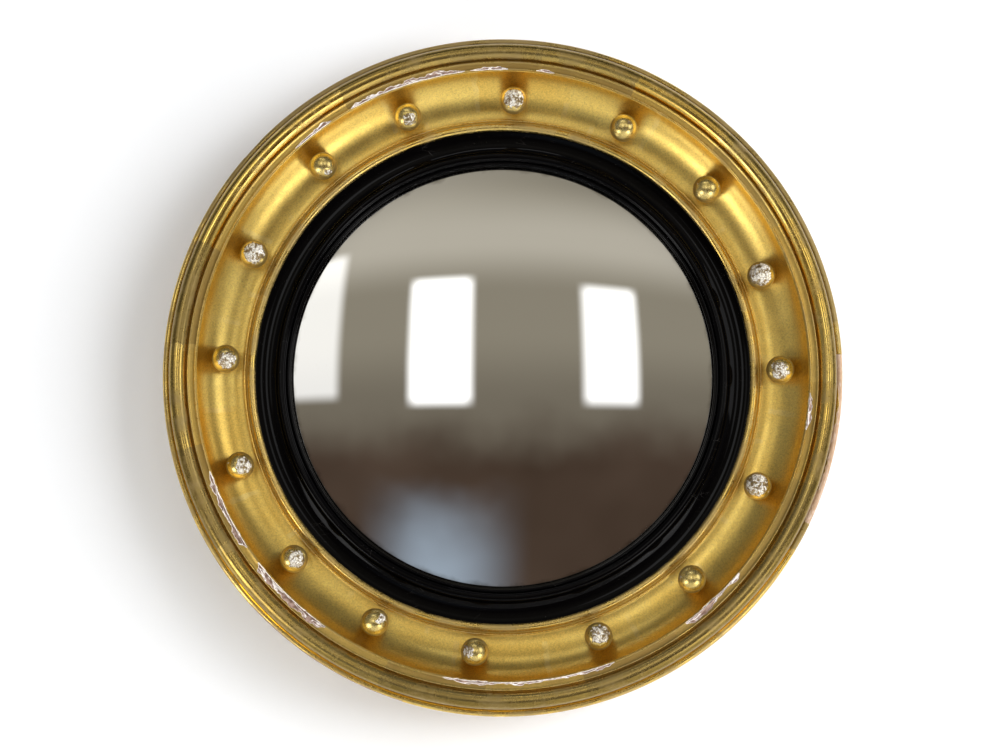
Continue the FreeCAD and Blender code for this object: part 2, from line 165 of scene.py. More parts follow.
def pine(name, pale, dark, wash, wash_share, place_turn=None):
    """Slab-sawn pine: X of its coordinates runs along the grain, Y and Z across it."""
    material, tree, surface = finish(name)
    if place_turn is None:
        place = attribute(tree, "plank", "Vector")
    else:
        place = stretched(object_place(tree), (1.0, 1.0, 1.0), turn=place_turn)
    knot = cells(stretched(place, (0.30, 1.0, 0.5)), 9.0)
    drift = cloud(stretched(place, (3.0, 14.0, 14.0)), 1.0, detail=3.0)
    across = stretched(place, (0.05, 1.0, 1.0), shift=(0.0, 0.012, 0.055))
    pith = add(tree, "ShaderNodeVectorMath", {0: across}, "Value", operation="LENGTH")
    year = (pith + drift * 0.016 + knot.ramp(0.42, 0.0) * 0.012) / 0.0031
    part = year.math("FRACT")
    late_wood = part.ramp(0.35, 0.90) * part.ramp(1.0, 0.93)
    fibre = cloud(stretched(place, (28.0, 900.0, 900.0)), 1.0, detail=2.0)
    streak = cloud(stretched(place, (5.0, 130.0, 130.0)), 1.0, detail=2.0)
    knot_core = knot.ramp(0.085, 0.05)
    colour = tint(late_wood * 0.75 + streak * 0.25, pale, dark)
    colour = tint(knot_core, colour, (0.13, 0.055, 0.022))
    brushed = cloud(stretched(place, (9.0, 90.0, 90.0)), 1.0, detail=3.0, distortion=0.6)
    colour = tint(brushed.ramp(0.30, 0.62) * wash_share, colour, wash)
    dust = cloud(place, 26.0, detail=5.0, roughness=0.65)
    colour = tint(dust.ramp(0.52, 0.74) * 0.35, colour, (0.10, 0.075, 0.05))
    colour = darker(colour, fibre.ramp(0.25, 0.75, 0.82, 1.08))
    board = (add(tree, "ShaderNodeSeparateXYZ", {0: place}, "X") / plank_step[0]).math("ROUND")
    tone = add(tree, "ShaderNodeTexWhiteNoise", {"W": board}, "Value", noise_dimensions="1D")
    colour = darker(colour, tone.ramp(0.0, 1.0, 0.80, 1.16))
    kerf = cloud(stretched(place, (420.0, 12.0, 12.0)), 1.0, detail=1.0)
    relief = fibre * 0.5 + late_wood * 0.25 + kerf * 0.35
    rough = streak.ramp(0.3, 0.7, 0.62, 0.82)
    normal = bumped(relief, 0.00025, 0.55)
    connect(surface, {"Base Color": colour, "Roughness": rough, "Normal": normal})
    return material


def points_of(mesh):
    places = np.zeros(len(mesh.vertices) * 3)
    mesh.vertices.foreach_get("co", places)
    return places.reshape(-1, 3)


def keep(mesh, name, data):
    """Stores numbers, or rows of three, on a mesh's points for its material."""
    kind = "FLOAT" if data.ndim == 1 else "FLOAT_VECTOR"
    layer = mesh.attributes.get(name) or mesh.attributes.new(name, kind, "POINT")
    layer.data.foreach_set("value" if data.ndim == 1 else "vector", data.astype(np.float32).ravel())


def plank(mesh, along, across, number):
    """Gives a mesh its place in its own plank, so that each piece has its own grain."""
    along = np.array(along)
    across = np.array(across)
    axes = np.stack([along, across, np.cross(along, across)], axis=1)
    keep(mesh, "plank", points_of(mesh) @ axes + np.array(plank_step) * number)


def eased_copy(name, node, arris, smooth=35.0):
    """A copy of a solid's mesh, merged, with its sharp edges eased by about the arris."""
    shape = bmesh.new()
    shape.from_mesh(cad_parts[node].data)
    bmesh.ops.remove_doubles(shape, verts=shape.verts, dist=1e-6)
    flat = math.radians(0.4)
    bmesh.ops.dissolve_limit(shape, angle_limit=flat, verts=shape.verts, edges=shape.edges)
    sharp = [e for e in shape.edges if e.is_manifold and e.calc_face_angle() > math.radians(smooth)]
    ease = {"offset": arris, "offset_type": "OFFSET", "segments": 2, "profile": 0.5}
    bmesh.ops.bevel(shape, geom=sharp, affect="EDGES", clamp_overlap=True, **ease)
    bmesh.ops.triangulate(shape, faces=shape.faces)
    bmesh.ops.recalc_face_normals(shape, faces=shape.faces)
    mesh = bpy.data.meshes.new(name)
    shape.to_mesh(mesh)
    shape.free()
    mesh.shade_smooth()
    mesh.set_sharp_from_angle(angle=math.radians(smooth))
    piece = bpy.data.objects.new(name, mesh)
    bpy.context.scene.collection.objects.link(piece)
    return piece


def settle(piece, body, slot, *nodes):
    """Says what a finished piece moves with and hides the nodes it stands for. The slot is not used."""
    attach(piece, body)
    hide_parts(*nodes)


washed_tones = ((0.50, 0.31, 0.14), (0.27, 0.13, 0.05), (0.33, 0.20, 0.07))
washed_pine = pine("washed_pine", *washed_tones, 0.75)
for number in range(segment_count):
    middle = first_joint + segment_angle * (number + 1)
    piece = eased_copy(f"pine_back_{number + 1}", f"back_segment_{number + 1}", board_arris)
    tangent = (-math.sin(middle), 0.0, math.cos(middle))
    outwards = (math.cos(middle), 0.0, math.sin(middle))
    plank(piece.data, tangent, outwards, number + 1)
    piece.data.materials.append(washed_pine)
    settle(piece, "frame", "washed_pine", f"back_segment_{number + 1}")


# ---- Gilt moulding ----------------------------------------------------------------------------
# The front ring, turned in pine, coated with white gesso and red-brown bole, and water-gilded
# with square leaves of gold. The leaf is rubbed on the crests, and the gesso has flaked off along
# the lip of the cove and at the outer edge.
segment_steps = 360
side_radius = 0.2740
joint_height = 0.0200
side_top = 0.0428
edge_bead = (0.2769, 0.0461)
edge_bead_size = 0.0031
bead_quirk = (0.2738, 0.0469)
torus = (0.2666, 0.0572)
torus_size = 0.0070
torus_quirk = (0.2593, 0.0556)
crest = (0.2577, 0.0589)
lip = (0.2519, 0.0587)
crest_size = 0.0008
band_floor = (0.2548, 0.0583)
lip_foot = (0.2511, 0.0573)
cove_top = (0.2504, 0.0568)
cove_middle = (0.2374, 0.0386)
cove_foot = (0.2147, 0.0322)
fillet_height = 0.0330
quirk_height = 0.0314
inner_bead = (0.2081, 0.0324)
inner_bead_size = 0.0033
opening_radius = 0.2048
rebate_radius = 0.2100
rebate_height = 0.0275
ball_angles = (
    0.9, 21.0, 42.3, 63.9, 87.7, 110.2, 130.7, 154.2,
    176.8, 199.3, 221.6, 242.8, 264.3, 290.0, 312.6, 336.2,
)
ball_size = 0.0115
ball_ring = 0.2284
ball_sink = 0.0008
collar_width = 0.0022
collar_rise = 0.0009
# Start and end in degrees, and how far the loss reaches outwards and inwards of the lip.
lip_losses = (
    (80.2, 83.7, 0.0026, 0.0016), (89.0, 96.2, 0.0030, 0.0020), (97.1, 119.8, 0.0036, 0.0024),
    (124.2, 132.7, 0.0026, 0.0020), (198.6, 214.4, 0.0036, 0.0026), (217.9, 235.2, 0.0042, 0.0028),
    (258.8, 291.1, 0.0030, 0.0024), (306.2, 319.6, 0.0042, 0.0028), (349.2, 356.3, 0.0034, 0.0030),
)
# Start and end in degrees, and how far the loss reaches inwards of the outer edge.
edge_losses = ((-26.2, 3.3, 0.0050), (223.0, 253.0, 0.0012), (136.0, 140.0, 0.0010))
gesso_depth = 0.0009
edge_loss_depth = 0.00025
edge_loss_foot = 0.0175
ring_outside = 0.2800
noise_radius = 0.25
leaf_side = 0.080


class Outline:
    """A ring's section as points (radius, height), at a spacing chosen for each stretch."""

    def __init__(self, radius, height):
        self.points = [(radius, height)]

    def line(self, radius, height, spacing=0.0006):
        start = np.array(self.points[-1])
        end = np.array((radius, height))
        count = max(1, round(float(np.linalg.norm(end - start)) / spacing))
        for step in range(1, count + 1):
            self.points.append(tuple(start + (end - start) * step / count))

    def round(self, centre, size, start, end, spacing):
        """A line to a round of this centre, then the round from angle start to angle end."""
        count = max(3, round(abs(math.radians(end - start)) * size / spacing))
        self.line(*on_circle(centre, size, start))
        for step in range(1, count + 1):
            self.points.append(on_circle(centre, size, start + (end - start) * step / count))

    def bow(self, middle, end, spacing):
        """The arc from the last point through middle to end."""
        centre, size = circle_through(self.points[-1], middle, end)
        ends = (np.subtract(place, centre) for place in (self.points[-1], end))
        first, last = (math.degrees(math.atan2(height, radius)) for radius, height in ends)
        swing = (last - first + 180.0) % 360.0 - 180.0
        self.round(centre, size, first, first + swing, spacing)


def on_ring(radius, height, angle):
    """The place at this angle, in degrees, on a ring round the mirror's middle."""
    turn = math.radians(angle)
    return (radius * math.cos(turn), -height, radius * math.sin(turn))


def on_circle(centre, size, angle):
    turn = math.radians(angle)
    return (centre[0] + size * math.cos(turn), centre[1] + size * math.sin(turn))


def circle_through(a, b, c):
    """Centre and size of the circle through three points."""
    rows = np.array([np.subtract(b, a), np.subtract(c, a)])
    centre = np.array(a) + np.linalg.solve(2 * rows, (rows**2).sum(1))
    return tuple(centre), float(np.linalg.norm(centre - a))


def moulding_outline():
    outline = Outline(side_radius, joint_height)
    outline.line(side_radius, side_top, 0.0028)
    outline.round(edge_bead, edge_bead_size, -90, 150, 0.0007)
    outline.line(*bead_quirk)
    outline.round(torus, torus_size, -8, 188, 0.0008)
    outline.line(*torus_quirk)
    outline.round(crest, crest_size, 0, 120, 0.0003)
    outline.bow(band_floor, on_circle(lip, crest_size, 60), 0.00045)
    outline.round(lip, crest_size, 60, 180, 0.00025)
    outline.line(*lip_foot, 0.0003)
    outline.line(*cove_top, 0.0003)
    outline.bow(cove_middle, cove_foot, 0.0011)
    outline.line(0.2145, fillet_height, 0.0004)
    outline.line(0.2134, fillet_height, 0.0005)
    outline.line(0.2124, quirk_height, 0.0005)
    outline.line(0.2114, quirk_height, 0.0005)
    outline.round(inner_bead, inner_bead_size, 0, 180, 0.0007)
    outline.line(opening_radius, rebate_height, 0.0016)
    outline.line(rebate_radius, rebate_height, 0.0026)
    outline.line(rebate_radius, joint_height, 0.0025)
    outline.line(side_radius, joint_height, 0.0080)
    return np.array(outline.points[:-1])


def smoothed(rows, passes):
    """Rows along a closed outline, each averaged with its neighbours."""
    for _ in range(passes):
        rows = (np.roll(rows, 1, 0) + 2 * rows + np.roll(rows, -1, 0)) / 4
    return rows


def making(name, kinds):
    """A new geometry tree with a named input of each kind, and those inputs."""
    tree = bpy.data.node_groups.new(name, "GeometryNodeTree")
    for label, kind in kinds.items():
        tree.interface.new_socket(label, in_out="INPUT", socket_type="NodeSocket" + kind)
    tree.interface.new_socket("Piece", in_out="OUTPUT", socket_type="NodeSocketGeometry")
    given = tree.nodes.new("NodeGroupInput")
    return tree, [Wire(given.outputs[number]) for number in range(len(kinds))]


def made_real(tree, shape, skin):
    """Ends a tree: copies become faces of their own, and all of them get the finish."""
    shape = add(tree, "GeometryNodeRealizeInstances", {"Geometry": shape})
    shape = add(tree, "GeometryNodeSetMaterial", {"Geometry": shape, "Material": skin})
    connect(tree.nodes.new("NodeGroupOutput"), {0: shape})


def lathe_tree():
    """The lathe: each point of a section goes to every step of the angle, and a skin joins them."""
    kinds = {"Section": "Geometry", "First angle": "Float", "Sweep": "Float", "Steps": "Int"}
    tree, given = making("lathe", {**kinds, "Finish": "Material"})
    section, first, sweep, steps, skin = given
    size = {"Geometry": section}
    count = add(tree, "GeometryNodeAttributeDomainSize", size, "Point Count", component="MESH")
    grid = add(tree, "GeometryNodeMeshGrid", {"Vertices X": steps + 1, "Vertices Y": count})
    index = add(tree, "GeometryNodeInputIndex")
    row = index.math("FLOORED_MODULO", count)
    turn = (index - row) / count / steps * sweep + first
    spot = {"Geometry": section, "Value": add(tree, "GeometryNodeInputPosition"), "Index": row}
    spot = add(tree, "GeometryNodeSampleIndex", spot, data_type="FLOAT_VECTOR")
    radius = add(tree, "ShaderNodeSeparateXYZ", {0: spot}, "X")
    height = add(tree, "ShaderNodeSeparateXYZ", {0: spot}, "Y")
    place = {"X": radius * turn.math("COSINE"), "Y": height * -1.0, "Z": radius * turn.math("SINE")}
    place = add(tree, "ShaderNodeCombineXYZ", place)
    ring = add(tree, "GeometryNodeSetPosition", {"Geometry": grid, "Position": place})
    for name, value in (("row", row), ("around", turn)):
        kept = {"Geometry": ring, "Name": name, "Value": value}
        ring = add(tree, "GeometryNodeStoreNamedAttribute", kept, data_type="FLOAT")
    ring = add(tree, "GeometryNodeMergeByDistance", {"Geometry": ring, "Distance": 1e-6})
    made_real(tree, ring, skin)
    return tree


def grown(name, mesh, tree, inputs):
    """Runs a geometry tree on a mesh and gives back the plain result as an object."""
    piece = bpy.data.objects.new(name, mesh)
    bpy.context.scene.collection.objects.link(piece)
    modifier = piece.modifiers.new("making", "NODES")
    modifier.node_group = tree
    for item in tree.interface.items_tree:
        if item.name in inputs:
            modifier[item.identifier] = inputs[item.name]
    made = piece.evaluated_get(bpy.context.evaluated_depsgraph_get())
    made = bpy.data.meshes.new_from_object(made)
    piece.modifiers.clear()
    piece.data = made
    made.name = name
    return piece


def turned(name, outline, skin, steps, first=0.0, sweep=math.tau):
    """A piece off the lathe, closed at its ends, with its faces outwards."""
    section = bpy.data.meshes.new(name + "_section")
    section.from_pydata([(r, h, 0.0) for r, h in outline], [], [])
    inputs = {"First angle": first, "Sweep": sweep, "Steps": steps, "Finish": skin}
    piece = grown(name, section, lathe, inputs)
    shape = bmesh.new()
    shape.from_mesh(piece.data)
    open_edges = [e for e in shape.edges if e.is_boundary]
    bmesh.ops.holes_fill(shape, edges=open_edges, sides=0)
    bmesh.ops.recalc_face_normals(shape, faces=shape.faces)
    shape.to_mesh(piece.data)
    shape.free()
    piece.data.shade_smooth()
    return piece


def numbers(mesh, name):
    data = np.zeros(len(mesh.vertices), np.float32)
    mesh.attributes[name].data.foreach_get("value", data)
    return data.astype(float)


def ripple(place, scale, seed):
    """Smooth seeded noise from -1 to 1 at each row of place, with lumps 1 / scale metres apart."""
    table = np.random.default_rng(seed).uniform(-1.0, 1.0, 4096)
    cell = np.floor(place * scale).astype(np.int64)
    part = place * scale - cell
    part = part * part * (3 - 2 * part)
    total = np.zeros(len(place))
    for corner in itertools.product((0, 1), repeat=place.shape[1]):
        spot = (cell + corner) * np.array([73856093, 19349663, 83492791])[: place.shape[1]]
        share = np.prod(np.where(corner, part, 1 - part), axis=1)
        total += table[np.bitwise_xor.reduce(spot, axis=1) & 4095] * share
    return total


def step_up(values, low, high):
    part = np.clip((values - low) / (high - low), 0.0, 1.0)
    return part * part * (3 - 2 * part)


moulding = smoothed(moulding_outline(), 2)
ahead = np.roll(moulding, -1, 0) - moulding
run = np.concatenate([[0.0], np.cumsum(np.linalg.norm(ahead, axis=1))[:-1]])
along = smoothed(np.roll(moulding, -1, 0) - np.roll(moulding, 1, 0), 1)
along = along / np.linalg.norm(along, axis=1)[:, None]
facing = np.stack([along[:, 1], -along[:, 0]], axis=1)
broad_facing = smoothed(facing, 14)
broad_facing /= np.linalg.norm(broad_facing, axis=1)[:, None]
turning = np.roll(along, 1, 0)
turning = turning[:, 0] * np.roll(along, -1, 0)[:, 1] - turning[:, 1] * np.roll(along, -1, 0)[:, 0]
bend = turning / (np.roll(run, -1) - np.roll(run, 1)).clip(1e-4)
rubbed = smoothed(np.sqrt(np.clip(bend / 320.0, 0.0, 1.0)), 3)
hollow = smoothed(np.clip(-bend / 260.0, 0.0, 1.0), 5)


def nearest_run(radius, height):
    """How far along the outline its nearest point to a place is."""
    return float(run[np.argmin(np.linalg.norm(moulding - np.array([radius, height]), axis=1))])


lip_run = nearest_run(lip[0], lip[1] + crest_size)
torus_top = nearest_run(torus[0], torus[1] + torus_size)
torus_end = nearest_run(torus[0] - torus_size, torus[1])
edge_top = nearest_run(edge_bead[0] - 0.0025, edge_bead[1] + edge_bead_size)
band_start = nearest_run(crest[0], crest[1] + crest_size)
cove_start = nearest_run(*cove_top)
cove_end = nearest_run(*cove_foot)
front_end = nearest_run(opening_radius, rebate_height)


def wear_moulding(mesh):
    """Gives one segment its hand-turned waver and its losses, and stores what the gilding reads."""
    row = numbers(mesh, "row").round().astype(int) % len(moulding)
    around = numbers(mesh, "around")
    degrees = np.degrees(around)
    out = np.stack([np.cos(around), np.zeros(len(around)), np.sin(around)], axis=1)
    forwards = np.array([0.0, -1.0, 0.0])
    spot = np.stack([noise_radius * np.cos(around), noise_radius * np.sin(around), run[row]], axis=1)
    from_lip = run[row] - lip_run
    loss = np.full(len(row), -0.01)
    depth_of = np.full(len(row), gesso_depth)
    for start, end, outer, inner in lip_losses:
        ends = np.minimum(degrees - start, end - degrees) * math.radians(0.252)
        taper = 0.35 + 0.65 * step_up(ends, 0.0, 0.006)
        edge = ripple(spot[:, :2], 75.0, 5) * 0.55 + ripple(spot[:, :2], 330.0, 6) * 0.30
        other = ripple(spot[:, :2], 60.0, 7) * 0.50 + ripple(spot[:, :2], 300.0, 8) * 0.30
        outwards = from_lip + outer * taper * (0.85 + edge)
        inwards = inner * taper * (0.85 + other) - from_lip
        reach = np.minimum(outwards, inwards)
        loss = np.maximum(loss, np.minimum(reach, ends + 0.0010 * edge))
    for start, end, reach in edge_losses:
        turn = (degrees - start + 180.0) % 360.0 - 180.0
        ends = np.minimum(turn, end - start - turn) * math.radians(0.28)
        jag = ripple(spot[:, :2], 60.0, 9) * 0.35 + ripple(spot[:, :2], 330.0, 10) * 0.25
        past = moulding[row, 0] - (ring_outside - reach * (1.0 + jag))
        above_foot = run[row] - edge_loss_foot + 0.0016 * ripple(spot, 90.0, 13)
        inside = np.minimum(np.minimum(past, ends), above_foot)
        inside = np.where(run[row] < edge_top, inside, -0.01)
        depth_of[inside > loss] = edge_loss_depth
        loss = np.maximum(loss, inside)
    bare = step_up(loss, 0.0, 0.00035)
    lumps = ripple(spot, 700.0, 11) * 0.5 + ripple(spot, 1500.0, 12) * 0.3
    waver = 0.00006 * ripple(spot, 20.0, 1) + 0.00003 * ripple(spot, 70.0, 2)
    waver += 0.00001 * ripple(spot, 260.0, 3)
    on_front = (run[row] < front_end) * (moulding[row, 1] > joint_height + 0.0005)
    sink = (waver - 0.00015) * on_front
    cut = -depth_of * bare * (1.0 + 0.30 * lumps) * on_front
    flat = facing[row] * sink[:, None] + broad_facing[row] * cut[:, None]
    places = points_of(mesh) + out * flat[:, :1] + forwards * flat[:, 1:]
    seats = np.zeros(len(row))
    for angle in ball_angles:
        gap = np.linalg.norm(places - on_ring(*ball_centre, angle), axis=1) - ball_size
        seats = np.maximum(seats, 1.0 - step_up(gap, 0.0, collar_width))
    # The gesso runs up in a small collar round each ball.
    rise = seats**2 * collar_rise
    slope = facing[row] * rise[:, None]
    places += out * slope[:, :1] + forwards * slope[:, 1:]
    mesh.vertices.foreach_set("co", places.ravel())
    keep(mesh, "around", around)
    keep(mesh, "across", run[row])
    keep(mesh, "rubbed", rubbed[row])
    keep(mesh, "hollow", hollow[row])
    keep(mesh, "ball_shade", seats)
    keep(mesh, "loss", loss)
    mesh.update()
    mesh.set_sharp_from_angle(angle=math.radians(48))


def gold_leaf(tree, place, number):
    """The colour of gold leaf: each leaf has its own tone, and clouds of thin toning lie on it."""
    tone = add(tree, "ShaderNodeTexWhiteNoise", {"W": number}, "Value", noise_dimensions="1D")
    patches = cloud(place, 30.0, detail=3.0)
    share = tone * 0.45 + patches * 0.75 - 0.15
    colour = tint(share.ramp(0.1, 0.9), (0.95, 0.69, 0.19), (0.90, 0.59, 0.125))
    thin = cloud(place, 170.0, detail=4.0, roughness=0.6)
    return tint(thin.ramp(0.56, 0.80) * 0.22, colour, (0.68, 0.46, 0.14))


def moulding_gilding():
    material, tree, surface = finish("gilt_moulding")
    place = object_place(tree)
    around = attribute(tree, "around")
    across = attribute(tree, "across")
    worn = attribute(tree, "rubbed")
    deep = attribute(tree, "hollow")
    ball_shade = attribute(tree, "ball_shade")
    loss = attribute(tree, "loss")
    soft = cloud(place, 55.0, detail=3.0)
    fine = cloud(place, 620.0, detail=4.0, roughness=0.7)
    grain = cloud(place, 1300.0, detail=3.0, roughness=0.6)
    streaks = add(tree, "ShaderNodeCombineXYZ", {"X": around * 2.2, "Y": across * 1000.0})
    streaks = cloud(streaks, 1.0, detail=3.0, roughness=0.55)
    splits = add(tree, "ShaderNodeCombineXYZ", {"X": around * 13.0, "Y": across * 300.0})
    splits = cloud(splits, 1.0, detail=2.0, distortion=0.6)
    cove = across.ramp(cove_start - 0.0004, cove_start + 0.0006) * across.ramp(cove_end + 0.001, cove_end)
    # Leaves are laid round the ring in rows, so that their laps break at each member.
    member = (across * 24.0).math("FLOOR")
    fray = cloud(place, 240.0, detail=3.0) * 0.05 + cloud(place, 25.0) * 0.12
    leaves = around * (0.25 / leaf_side) + fray + member * 0.37
    number = leaves.math("FLOOR")
    part = leaves - number
    leaf = number + member * 17.3
    colour = gold_leaf(tree, place, leaf)
    colour = darker(colour, grain * 0.80 + fine * 0.90 + 0.13)
    lap = part.ramp(0.060, 0.055) * cloud(place, 60.0).ramp(0.35, 0.60)
    colour = tint(lap * 0.30, colour, (1.0, 0.80, 0.36))
    # The torus is painted dull and dark on its outer slope, as painted shade. Its inner slope is painted
    # darker towards the bottom of the ring and the upper edge towards the top, also as painted shade.
    # The hollow band is darker too, and leaf by leaf the gold is worn thin over the size.
    above = (around - 1.2).math("COSINE").ramp(-0.4, 0.3)
    below = (around - 4.45).math("COSINE").ramp(-0.3, 0.5)
    slope = across.ramp(torus_top, torus_top - 0.0030) * across.ramp(edge_top - 0.001, edge_top + 0.002)
    inner = across.ramp(torus_top - 0.0030, torus_top) * across.ramp(torus_end, torus_end - 0.0020)
    edge = across.ramp(edge_top + 0.0030, edge_top + 0.0010) * above
    band = across.ramp(band_start - 0.001, band_start + 0.001) * across.ramp(lip_run, lip_run - 0.001)
    handled = add(tree, "ShaderNodeTexWhiteNoise", {"W": leaf + 0.5}, "Value", noise_dimensions="1D")
    wear_and_shade = slope * 0.72 + inner * (below * 0.40 + 0.25) + edge * 0.65 + band * 0.35
    wear_and_shade = wear_and_shade + soft * 0.5 + streaks * 0.30 + handled * 0.60 - 0.10
    wear_and_shade = wear_and_shade * (cove * -1.0 + 1.0)
    wear_and_shade = wear_and_shade.ramp(0.62, 1.25)
    # Painted shade: the outer slope takes the darkest of the two dull colours.
    colour = tint(wear_and_shade * 0.88, colour, tint(slope, (0.33, 0.235, 0.080), (0.16, 0.105, 0.024)))
    rub = worn * 0.45 + soft * 0.70 + fine * 0.45 + streaks * 0.35
    rub = rub.ramp(1.02, 1.32)
    colour = tint(rub * 0.70, colour, (0.40, 0.29, 0.13))
    # Painted shade darkens the quirks and the other sharp hollows of the outline, and a painted contact
    # shadow rings each ball on the cove.
    painted_shade = (deep * 1.1 + fine * 0.3 - 0.20).ramp(0.10, 0.90)
    colour = tint(painted_shade * 0.60, colour, (0.27, 0.155, 0.03))
    # The painted contact shadow round each ball.
    ring = (ball_shade + fine * 0.25 - 0.12).ramp(0.25, 0.95)
    colour = tint(ring * 0.78, colour, (0.20, 0.115, 0.025))
    pits = cells(place, 430.0).ramp(0.10, 0.05) * cloud(place, 45.0, detail=3.0).ramp(0.64, 0.80)
    spots = cells(place, 75.0).ramp(0.055, 0.035) * cloud(place, 20.0).ramp(0.50, 0.62)
    marks = pits.math("MAXIMUM", spots)
    colour = tint(marks * 0.8, colour, (0.12, 0.06, 0.02))
    # Where the gesso has flaked, white ridges stand in a floor of pinkish brown size and wood.
    torn = (loss * 2600.0 + fine * 0.8 - 0.4).ramp(0.0, 0.35)
    edge_white = (loss * -1500.0 + fine * 1.0 + 0.38).ramp(0.25, 0.55)
    ridges = (splits - 0.5).math("ABSOLUTE").ramp(0.038, 0.018)
    broken = tint(cloud(place, 300.0, detail=3.0).ramp(0.35, 0.65), (0.20, 0.12, 0.09), (0.43, 0.30, 0.25))
    at_edge = across.ramp(edge_top + 0.0050, edge_top + 0.0030)
    broken = tint(at_edge * 0.75, broken, (0.50, 0.33, 0.20))
    white = edge_white.math("MAXIMUM", ridges) * (at_edge * -0.80 + 1.0)
    broken = tint(white, broken, (0.93, 0.88, 0.84))
    colour = tint(torn, colour, broken)
    metal = (torn * -1.0 + 1.0) * (painted_shade * -0.30 + 1.0) * (rub * -0.30 + 1.0)
    metal = metal * (wear_and_shade * -0.08 + 1.0) * (marks * -0.8 + 1.0)
    rough = cove * 0.15 + soft.ramp(0.3, 0.7, 0.16, 0.22) + rub * 0.14
    rough = rough + wear_and_shade * 0.08 + painted_shade * 0.2 + torn * 0.5
    relief = fine * 0.22 + grain * 0.22 + lap * 0.10 + streaks * (cove * -0.75 + 1.0) * 0.07 - marks * 0.3
    normal = bumped(relief, 0.00011, 0.5)
    connect(surface, {"Base Color": colour, "Metallic": metal, "Roughness": rough, "Normal": normal})
    return material


lathe = lathe_tree()
gilt_moulding = moulding_gilding()
cove_centre, cove_size = circle_through(cove_top, cove_middle, cove_foot)
ball_reach = cove_size - ball_size + ball_sink
ball_drop = math.sqrt(ball_reach**2 - (ball_ring - cove_centre[0]) ** 2)
ball_centre = (ball_ring, cove_centre[1] - ball_drop)
closed_moulding = [*moulding, moulding[0]]
for number in range(segment_count):
    start = first_joint + segment_angle * number
    name = f"gilt_segment_{number + 1}"
    piece = turned(name, closed_moulding, gilt_moulding, segment_steps, start, segment_angle)
    wear_moulding(piece.data)
    settle(piece, "frame", "gilt_moulding", f"front_segment_{number + 1}")


# ---- Balls ------------------------------------------------------------------------------------
# Sixteen turned wooden balls, gessoed, gilded and burnished bright, each on a headless iron pin
# in the cove. The gold has come away in crackled patches on the front of most of them, and each
# ball is painted dark brown round its sides and its foot, as painted shade.
ball_rows = 30
patch_relief = 0.00030
# For each ball, right and up of its middle as shares of its size, and how far its bare patch goes.
bare_patches = (
    (-0.15, -0.15, 0.72), (-0.15, 0.00, 0.95), (0.00, 0.00, 0.00), (0.35, 0.25, 0.15),
    (0.02, 0.02, 0.85), (0.22, -0.38, 0.50), (0.45, -0.55, 0.36), (0.10, 0.00, 0.88),
    (0.25, -0.28, 0.70), (0.45, -0.05, 0.66), (0.35, -0.05, 0.66), (0.55, 0.25, 0.42),
    (-0.55, 0.05, 0.48), (0.10, 0.20, 0.74), (0.00, 0.00, 0.00), (-0.15, 0.12, 0.95),
)


def ball_tree():
    """A ball made from a swollen cube of small faces, set out at each given point."""
    kinds = {"Places": "Geometry", "Size": "Float", "Rows": "Int", "Finish": "Material"}
    tree, (places, size, rows, skin) = making("set_out_balls", kinds)
    grid = {f"Vertices {axis}": rows + 1 for axis in "XYZ"}
    cube = add(tree, "GeometryNodeMeshCube", grid)
    # The tangent of each coordinate spaces the faces evenly once the cube is swollen.
    spot = add(tree, "GeometryNodeInputPosition")
    even = {}
    for axis in "XYZ":
        part = add(tree, "ShaderNodeSeparateXYZ", {0: spot}, axis)
        even[axis] = (part * (math.pi / 2)).math("TANGENT")
    even = add(tree, "ShaderNodeCombineXYZ", even)
    swollen = add(tree, "ShaderNodeVectorMath", {0: even}, operation="NORMALIZE")
    swollen = add(tree, "ShaderNodeVectorMath", {0: swollen, "Scale": size}, operation="SCALE")
    ball = add(tree, "GeometryNodeSetPosition", {"Geometry": cube, "Position": swollen})
    turn = {"Min": (0.0, 0.0, 0.0), "Max": (math.tau, math.tau, math.tau), "Seed": 4}
    turn = add(tree, "FunctionNodeRandomValue", turn, "Value", data_type="FLOAT_VECTOR")
    turn = add(tree, "FunctionNodeEulerToRotation", {0: turn})
    balls = {"Points": places, "Instance": ball, "Rotation": turn}
    balls = add(tree, "GeometryNodeInstanceOnPoints", balls)
    made_real(tree, balls, skin)
    return tree


